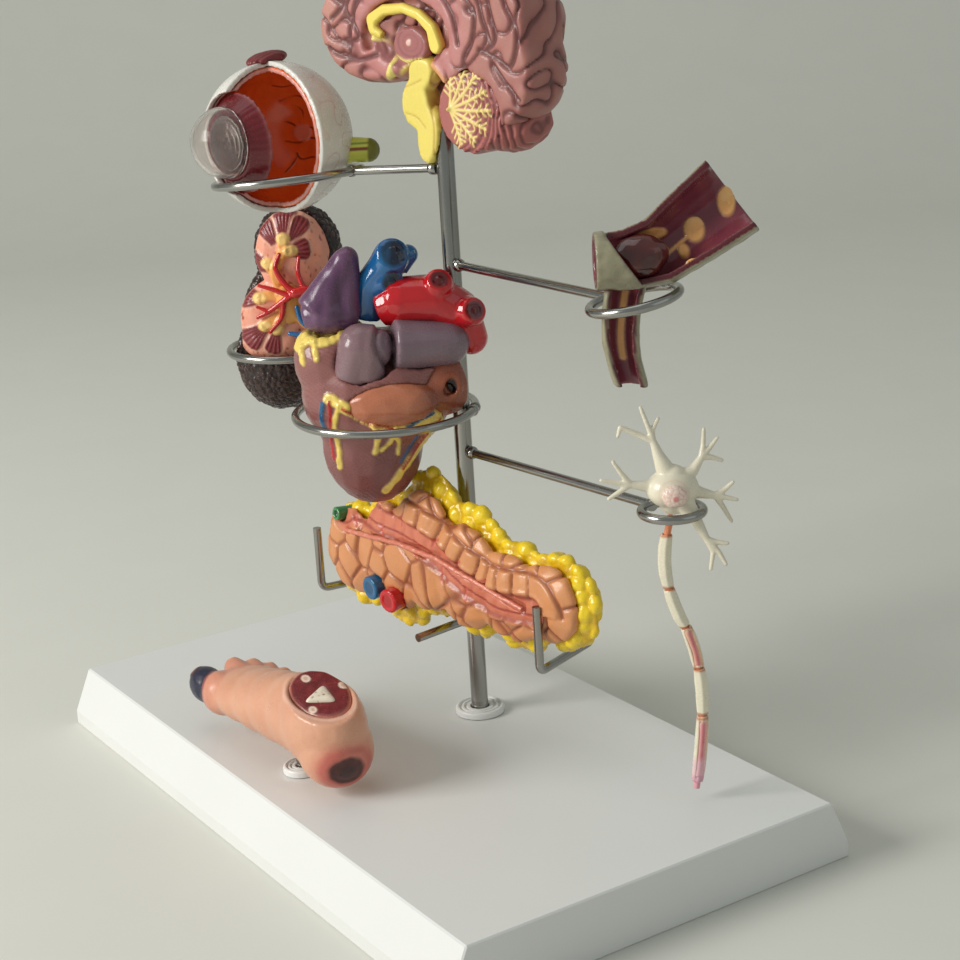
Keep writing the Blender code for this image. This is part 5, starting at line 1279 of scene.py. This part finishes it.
def build_neuron():
    """Nerve cell with forked dendrites, its axon and five sleeves, three of them cut open."""
    forks = (
        (((-0.8, 0.0, 11.0), (-3.6, 0.2, 17.9), (-5.0, 0.4, 22.2)), ((-5.9, 0.8, 25.4), (-8.4, 1.0, 32.8)),
         ((-9.5, 0.6, 24.6), (-14.8, 0.4, 27.2), (-15.6, 0.2, 24.4)), ((-5.2, 1.2, 25.2), (-3.2, 1.4, 29.0))),
        (((-2.4, 0.0, 8.4), (-7.5, -1.0, 8.6), (-12.5, -1.8, 9.7)),
         ((-15.0, -2.2, 13.2), (-17.6, -2.6, 17.4)),
         ((-15.6, -2.4, 8.0), (-19.4, -3.0, 5.9)), ((-17.0, -2.2, 10.6), (-21.4, -2.8, 11.9))),
        (((2.5, 0.0, 9.6), (6.8, 0.6, 12.2), (9.5, 1.2, 16.1)), ((10.2, 1.8, 19.6), (10.6, 2.2, 24.6)),
         ((12.1, 1.8, 18.6), (14.6, 2.2, 21.6)), ((12.6, 1.6, 15.8), (15.9, 2.0, 14.4))),
        (((3.6, 0.0, 6.6), (8.7, -0.8, 5.5), (13.2, -1.2, 4.4)), ((16.2, -1.6, 3.8), (19.6, -2.0, 2.9)),
         ((15.4, -1.6, 0.8), (17.8, -2.0, -3.8)), ((16.4, -1.2, 6.4), (18.6, -1.4, 8.4))),
        (((3.0, -2.0, 4.0), (6.9, -5.0, -2.2), (9.6, -6.8, -7.6)), ((11.3, -7.8, -11.4), (10.3, -8.6, -16.6)),
         ((13.0, -8.0, -11.4), (15.0, -8.8, -15.2)), ((12.2, -7.0, -8.4), (15.8, -7.6, -9.0))),
    )
    limbs = []
    for stem, *twigs in forks:
        sizes = [3.4, 1.7, 1.0]
        for start, end, first, last in zip(stem, stem[1:], sizes, sizes[1:]):
            limbs.append((start, end, first, last))
        for twig in twigs:
            points = [stem[-1], *twig]
            sizes = np.linspace(0.95, 0.55, len(points))
            limbs += [(a, b, first, last) for a, b, first, last in zip(points, points[1:], sizes, sizes[1:])]
    balls = [((0.3, 0.0, 7.2), (8.0, 7.0, 6.0)), ((0.4, 0.0, 3.8), (4.6, 4.6, 4.8)),
             ((0.6, 0.0, 9.0), (5.0, 4.6, 5.6))]
    cell = Cast(from_parts("dendrite_cell", NEURON, balls, limbs, 0.36, 7), NEURON, ink(232, 224, 202))
    cell.push(0.14)
    cell.cloud(4.0, 0.35, ink(214, 202, 174))
    cell.paint(within(cell.points[:, 2], 3.2, 3) * 0.25, ink(200, 190, 166))
    ring = np.linalg.norm((cell.front - (0.2, 7.0)) / (4.3, 3.9), axis=1)
    cell.paint(band(ring - 1.05, 0.10) * within(cell.points[:, 1], -3, 2) * 0.4, ink(222, 190, 174))
    cell.gloss[:] = 0.35
    cell.finish(painted("neuron_cream_paint", 0.42, 0.10), "neuron", "neuron_cream", "neuron_cell_body")

    core = Cast(from_node("neuron_nucleus", 0.3, 6), NEURON, ink(234, 214, 198))
    core.push(0.25)
    _near, border = cells(core.points, 1.7, 3.3)
    core.paint(band(border, 0.10) * 0.6, ink(216, 142, 140))
    core.push(-0.1 * band(border, 0.14))
    core.spot((0.3, 6.8), (0.9, 0.9), ink(216, 140, 138), 0.1, 0.5)
    core.finish(painted("nucleus_pink_paint", 0.40, 0.10), "neuron", "nucleus_pink", "neuron_nucleus")

    axon = Cast(from_node("neuron_axon", 0.25, 4), NEURON, ink(224, 138, 96))
    axon.push(0.2)
    axon.paint(within(axon.points[:, 2], -90, 2), ink(226, 160, 170))
    axon.finish(painted("axon_paint", 0.42, 0.14), "neuron", "nucleus_pink", "neuron_axon")

    opened = {3: (0.0, 1.0), 5: (0.0, 1.0)}
    for index in range(1, 6):
        node = f"myelin_sheath_{index}"
        sleeve = Cast(from_node(node, 0.26, 5), NEURON, ink(230, 222, 198))
        sleeve.push(0.22)
        x, y, z = sleeve.points.T
        low, high = z.min(), z.max()
        share = (z - low) / (high - low)
        middle = x - np.interp(z, np.linspace(low, high, 24),
                               [x[np.abs(z - level) < 1.2].mean() for level in np.linspace(low, high, 24)])
        if index in opened:
            facing = within(y, -0.2, 0.8)
            slot = within(np.abs(middle - 0.2), 1.15, 0.4)
            window = slot * facing * within(np.abs(share - 0.5), 0.42, 0.06)
            sleeve.push(-0.75 * window)
            sleeve.paint(window, ink(236, 178, 178) if index == 5 else ink(238, 186, 160))
            sleeve.paint(window * band(middle - 0.1, 0.35), ink(212, 112, 120))
            sleeve.paint(band(np.abs(middle - 0.2) - 1.3, 0.25) * facing * 0.7, ink(206, 132, 96))
        for end in (0.03, 0.97):
            sleeve.paint(band(share - end, 0.025) * 0.9, ink(198, 112, 62))
        if index == 5:
            sleeve.paint(within(share, 0.36, 0.1) * 0.75, ink(232, 186, 196))
            sleeve.paint(within(share, 0.1, 0.05) * 0.5, ink(206, 140, 168))
        sleeve.cloud(2.5, 0.2, ink(206, 194, 168))
        sleeve.gloss[:] = 0.4
        sleeve.finish(painted(f"sleeve_{index}_paint", 0.40, 0.10), "neuron", "neuron_cream", node)


def foot_shape():
    """The whole foot under one skin: heel, instep, forefoot, big toe and four small toes."""
    balls = [
        ((22.0, 1.0, 36.5), (12.5, 12.0, 12.5)), ((15.5, 0.5, 44.0), (18.5, 12.6, 16.0)),
        ((4.0, 0.5, 43.0), (18.0, 12.0, 13.0)), ((-8.0, 0.5, 41.5), (18.0, 12.2, 11.5)),
        ((-20.0, 0.8, 40.0), (17.0, 12.6, 10.0)), ((-31.0, 1.0, 38.8), (15.0, 13.0, 8.8)),
        ((-40.0, 1.2, 37.6), (11.0, 12.8, 7.8)), ((-43.5, -5.5, 37.5), (8.5, 6.6, 7.4)),
        ((-53.0, -6.4, 38.0), (7.6, 5.4, 6.0)),
    ]
    toes = [
        ((-44.0, 3.0, 41.5), (-50.5, 3.6, 42.4), 4.2, 3.4),
        ((-41.0, 7.5, 41.0), (-46.5, 9.0, 41.8), 4.0, 3.2),
        ((-37.0, 10.5, 40.0), (-41.5, 12.8, 41.0), 3.8, 3.0),
        ((-32.0, 12.0, 38.5), (-35.5, 15.2, 40.6), 3.6, 2.7),
    ]
    item = from_parts("foot_skin_cast", FOOT, balls, toes, 0.55, 30)
    plane = organ_matrix(FOOT) @ Matrix.Translation(Vector(ANKLE) * MM) @ ANKLE_LEAN
    back = np.array(plane.inverted())
    mesh = item.data
    spots = np.empty(len(mesh.vertices) * 3, np.float32)
    mesh.vertices.foreach_get("co", spots)
    spots = spots.reshape(-1, 3).astype(float) @ back[:3, :3].T + back[:3, 3]
    dish = within(np.linalg.norm(spots[:, :2] / (0.0142, 0.0097), axis=1), 1.0, 0.08)
    spots[:, 2] = np.minimum(spots[:, 2], -0.0022 * dish)
    onward = np.array(plane)
    spots = spots @ onward[:3, :3].T + onward[:3, 3]
    mesh.vertices.foreach_set("co", spots.astype(np.float32).ravel())
    mesh.update()
    return item


def build_foot():
    """Diseased foot: peach skin, blackened big toe, open heel sore and the cut ankle with its bone."""
    foot = Cast(foot_shape(), FOOT, ink(216, 158, 128))
    foot.push(0.6)
    x = foot.points[:, 0]
    blotch = grain(foot.points, 9.0)
    foot.paint(np.clip(blotch, 0, 1) * 0.4, ink(226, 174, 144))
    foot.paint(np.clip(-blotch, 0, 1) * 0.4, ink(202, 138, 110))
    foot.paint(np.clip((-x - 34) / 16, 0, 0.5), ink(206, 124, 104))
    foot.push(0.08 * grain(foot.points, 1.8, 4.0))
    ragged = 1.6 * grain(foot.points, 3.0, 2.0)
    toe = np.linalg.norm((foot.points - (-55.5, -8.0, 37.0)) / (9.6, 8.4, 9.0), axis=1) + ragged * 0.06
    foot.paint(within(toe, 1.22, 0.14) * 0.8, ink(128, 54, 62))
    foot.paint(within(toe, 1.02, 0.12), ink(36, 36, 58))
    foot.spot((-57.0, -8.0, 42.0), (3.0, 3.0, 2.2), ink(96, 58, 48), 0.35, 0.7)
    for centre in ((-52.6, 3.8, 44.8), (-48.4, 9.4, 44.0), (-43.2, 13.4, 43.2)):
        foot.spot(centre, (2.2, 1.9, 1.8), ink(240, 204, 180), 0.2, 0.6)
    sore = np.linalg.norm((foot.points - (33.0, -1.5, 32.5)) / (5.6, 6.4, 5.6), axis=1) + ragged * 0.07
    foot.paint(within(sore, 1.9, 0.6) * 0.45, ink(206, 104, 92))
    reddened = within(foot.points[:, 0] - sore * 2, 33.0, 4)
    foot.paint(within(sore, 1.6, 0.4) * 0.6 * reddened, ink(186, 72, 70))
    foot.paint(within(sore, 1.0, 0.15), ink(76, 28, 22))
    foot.push(-0.9 * within(sore, 0.95, 0.4))
    foot.paint(within(sore, 0.5, 0.2) * 0.7, ink(46, 16, 14))
    plane = np.array(ANKLE_LEAN.to_3x3())
    local = (foot.points - ANKLE) @ plane
    rim = np.linalg.norm(local[:, :2] / (14.8, 10.2), axis=1)
    lip = within(-local[:, 2], 1.6, 0.8)
    foot.paint(lip * band(rim - 1.06, 0.05) * 0.7, ink(236, 190, 170))
    foot.gloss[:] = 0.35
    foot.finish(painted("foot_skin_paint", 0.44, 0.12), "foot", "foot_skin", "foot_body")

    cut = Cast(from_node("ankle_section", 0.4, 7), FOOT, ink(116, 30, 34))
    cut.push(0.25)
    local = (cut.points - ANKLE) @ plane
    flesh = grain(cut.points, 2.4, 6.0)
    cut.paint(np.clip(flesh, 0, 1) * 0.6, ink(150, 54, 50))
    cut.paint(np.clip(-flesh, 0, 1) * 0.6, ink(76, 14, 20))
    radius = np.linalg.norm(local[:, :2] / (13.8, 9.3), axis=1)
    cut.paint(band(radius - 0.94, 0.05) * 0.6, ink(220, 150, 130))
    for spot, size in (((6.8, 0.5), 1.6), ((20.5, -5.4), 1.4), ((17.6, 8.2), 1.5)):
        apart = np.linalg.norm((cut.points[:, :2] - spot) / (size, size * 0.75), axis=1)
        cut.paint(within(apart, 1.2, 0.3), ink(236, 212, 190))
        cut.paint(band(apart - 0.3, 0.3) * 0.5, ink(180, 90, 80))
    cut.gloss[:] = 0.6
    cut.finish(painted("ankle_flesh_paint", 0.40, 0.18), "foot", "maroon", "ankle_section")

    bone = Cast(from_node("ankle_bone", 0.35, 6), FOOT, ink(232, 220, 198))
    middle = bone.points.mean(axis=0)
    bone.points[:, :2] = middle[:2] + (bone.points[:, :2] - middle[:2]) * 1.3
    bone.settle()
    bone.push(0.3)
    pores = np.clip(grain(bone.points, 0.85, 3.0) * 3 - 0.7, 0, 1)
    local = (bone.points - ANKLE) @ plane
    inside = within(np.linalg.norm(local[:, :2] - (1.5, -0.4), axis=1), 3.6, 0.8)
    bone.paint(pores * inside, ink(150, 104, 88))
    bone.push(-0.12 * pores * inside)
    bone.finish(painted("ankle_bone_paint", 0.44, 0.10), "foot", "neuron_cream", "ankle_bone")


# ---- studio ----

def build_studio():
    """Pale sweep behind and under the stand, soft lights and the camera."""
    settings = bpy.context.scene.organ_studio
    across = np.array(VIEW_ACROSS)
    away = np.array(VIEW_AWAY)
    flat, bend, top, steps = 1.1, 0.7, 3.2, 12
    profile = [(-1.6, 0.0), (flat, 0.0)]
    for step in range(1, steps + 1):
        angle = math.radians(90 * step / steps)
        profile.append((flat + bend * math.sin(angle), bend - bend * math.cos(angle)))
    profile.append((flat + bend, top))
    bm = bmesh.new()
    rows = []
    for aside in (-2.6, 2.6):
        places = [across * aside + away * back + np.array((0, 0, up)) for back, up in profile]
        rows.append([bm.verts.new(place) for place in places])
    for index in range(len(profile) - 1):
        bm.faces.new((rows[0][index], rows[1][index], rows[1][index + 1], rows[0][index + 1]))
    bmesh.ops.recalc_face_normals(bm, faces=bm.faces)
    mesh = bpy.data.meshes.new("studio_sweep")
    bm.to_mesh(mesh)
    bm.free()
    mesh.shade_smooth()
    mesh.materials.append(plain("sweep_paper", settings.floor_colour, 0.75, 0.1, scale=60.0, change=0.04,
                                relief=0.02))
    show(bpy.data.objects.new("studio_sweep", mesh))

    world = bpy.data.worlds.new("soft_room")
    world.use_nodes = True
    world.node_tree.nodes["Background"].inputs["Color"].default_value = (0.86, 0.93, 0.90, 1)
    world.node_tree.nodes["Background"].inputs["Strength"].default_value = settings.room
    bpy.context.scene.world = world

    aim = Vector((0.0, 0.0, 0.12))
    side, front = Vector(across), -Vector(away)
    lamps = (
        ("window", side * -1.25 + front * 0.45 + Vector((0, 0, 0.62)), 0.7, settings.key, (1.0, 0.985, 0.95)),
        ("bounce", side * 1.3 + front * 0.9 + Vector((0, 0, 0.7)), 1.2, settings.key * 0.07,
         (0.92, 0.96, 1.0)),
        ("overhead", Vector((-0.3, -0.2, 1.5)), 1.0, settings.key * 0.12, (1.0, 1.0, 1.0)),
    )
    for name, spot, size, power, colour in lamps:
        light = bpy.data.lights.new(name, "AREA")
        light.size = size
        light.energy = power
        light.color = colour
        lamp = show(bpy.data.objects.new(name, light))
        lamp.location = aim + spot
        lamp.rotation_euler = (aim - lamp.location).to_track_quat("-Z", "Y").to_euler()

    lens = bpy.data.cameras.new("stand_camera")
    lens.sensor_width = 36.0
    lens.lens = settings.lens
    lens.clip_start = 0.01
    camera = show(bpy.data.objects.new("stand_camera", lens))
    camera.location = CAMERA_PLACE
    camera.rotation_euler = tuple(math.radians(turn) for turn in CAMERA_TURN)
    bpy.context.scene.camera = camera
    bpy.context.scene.view_settings.view_transform = "Standard"


# ---- add-on ----

class StandSettings(bpy.types.PropertyGroup):
    wire: FloatProperty(name="Wire", description="Diameter of the wire, in metres", default=0.003,
                        min=0.002, max=0.0032, subtype="DISTANCE", unit="LENGTH")
    board_colour: FloatVectorProperty(name="Board", description="Colour of the white board",
                                      default=(0.76, 0.76, 0.74),
                                      size=3, min=0, max=1, subtype="COLOR")
    cortex_colour: FloatVectorProperty(name="Cortex", description="Paint of the brain's folds",
                                       default=(0.44, 0.178, 0.150), size=3, min=0, max=1, subtype="COLOR")


class StudioSettings(bpy.types.PropertyGroup):
    key: FloatProperty(name="Window light", description="Power of the main light, in watts", default=18.5,
                       min=0, unit="POWER")
    room: FloatProperty(name="Room light", description="Strength of the light from all round", default=0.37,
                        min=0)
    lens: FloatProperty(name="Lens", description="Focal length, in millimetres", default=74.18, min=20,
                        unit="CAMERA")
    floor_colour: FloatVectorProperty(name="Sweep", description="Colour of the paper sweep",
                                      default=(0.72, 0.71, 0.65), size=3, min=0, max=1, subtype="COLOR")


def stand_operator(word, label, build):
    """An operator class that runs one builder."""
    def execute(self, context):
        build()
        return {"FINISHED"}

    fields = {"bl_idname": "organ_stand." + word, "bl_label": label, "bl_options": {"REGISTER", "UNDO"},
              "__doc__": build.__doc__, "execute": execute}
    return type("ORGANSTAND_OT_" + word, (bpy.types.Operator,), fields)


OPERATORS = [
    stand_operator("steelwork", "Post and Wires", build_steelwork),
    stand_operator("board", "Board and Collars", build_board),
    stand_operator("brain", "Brain", build_brain),
    stand_operator("eye", "Eye", build_eye),
    stand_operator("kidney", "Kidney", build_kidney),
    stand_operator("heart", "Heart", build_heart),
    stand_operator("pancreas", "Pancreas", build_pancreas),
    stand_operator("artery", "Artery", build_artery),
    stand_operator("neuron", "Nerve Cell", build_neuron),
    stand_operator("foot", "Foot", build_foot),
    stand_operator("studio", "Studio", build_studio),
]


class ORGANSTAND_PT_pieces(bpy.types.Panel):
    bl_idname = "ORGANSTAND_PT_pieces"
    bl_label = "Organ Stand"
    bl_space_type = "VIEW_3D"
    bl_region_type = "UI"
    bl_category = "Organ Stand"

    def draw(self, context):
        layout = self.layout
        for group in (context.scene.organ_stand, context.scene.organ_studio):
            for label in group.__annotations__:
                layout.prop(group, label)
        for operator in OPERATORS:
            layout.operator(operator.bl_idname)


CLASSES = [StandSettings, StudioSettings, *OPERATORS, ORGANSTAND_PT_pieces]


def register():
    for item in CLASSES:
        bpy.utils.register_class(item)
    bpy.types.Scene.organ_stand = PointerProperty(type=StandSettings)
    bpy.types.Scene.organ_studio = PointerProperty(type=StudioSettings)


def unregister():
    del bpy.types.Scene.organ_studio
    del bpy.types.Scene.organ_stand
    for item in reversed(CLASSES):
        bpy.utils.unregister_class(item)


def main():
    register()
    for operator in OPERATORS:
        getattr(bpy.ops.organ_stand, operator.bl_idname.split(".")[1])()


if __name__ == "__main__":
    main()
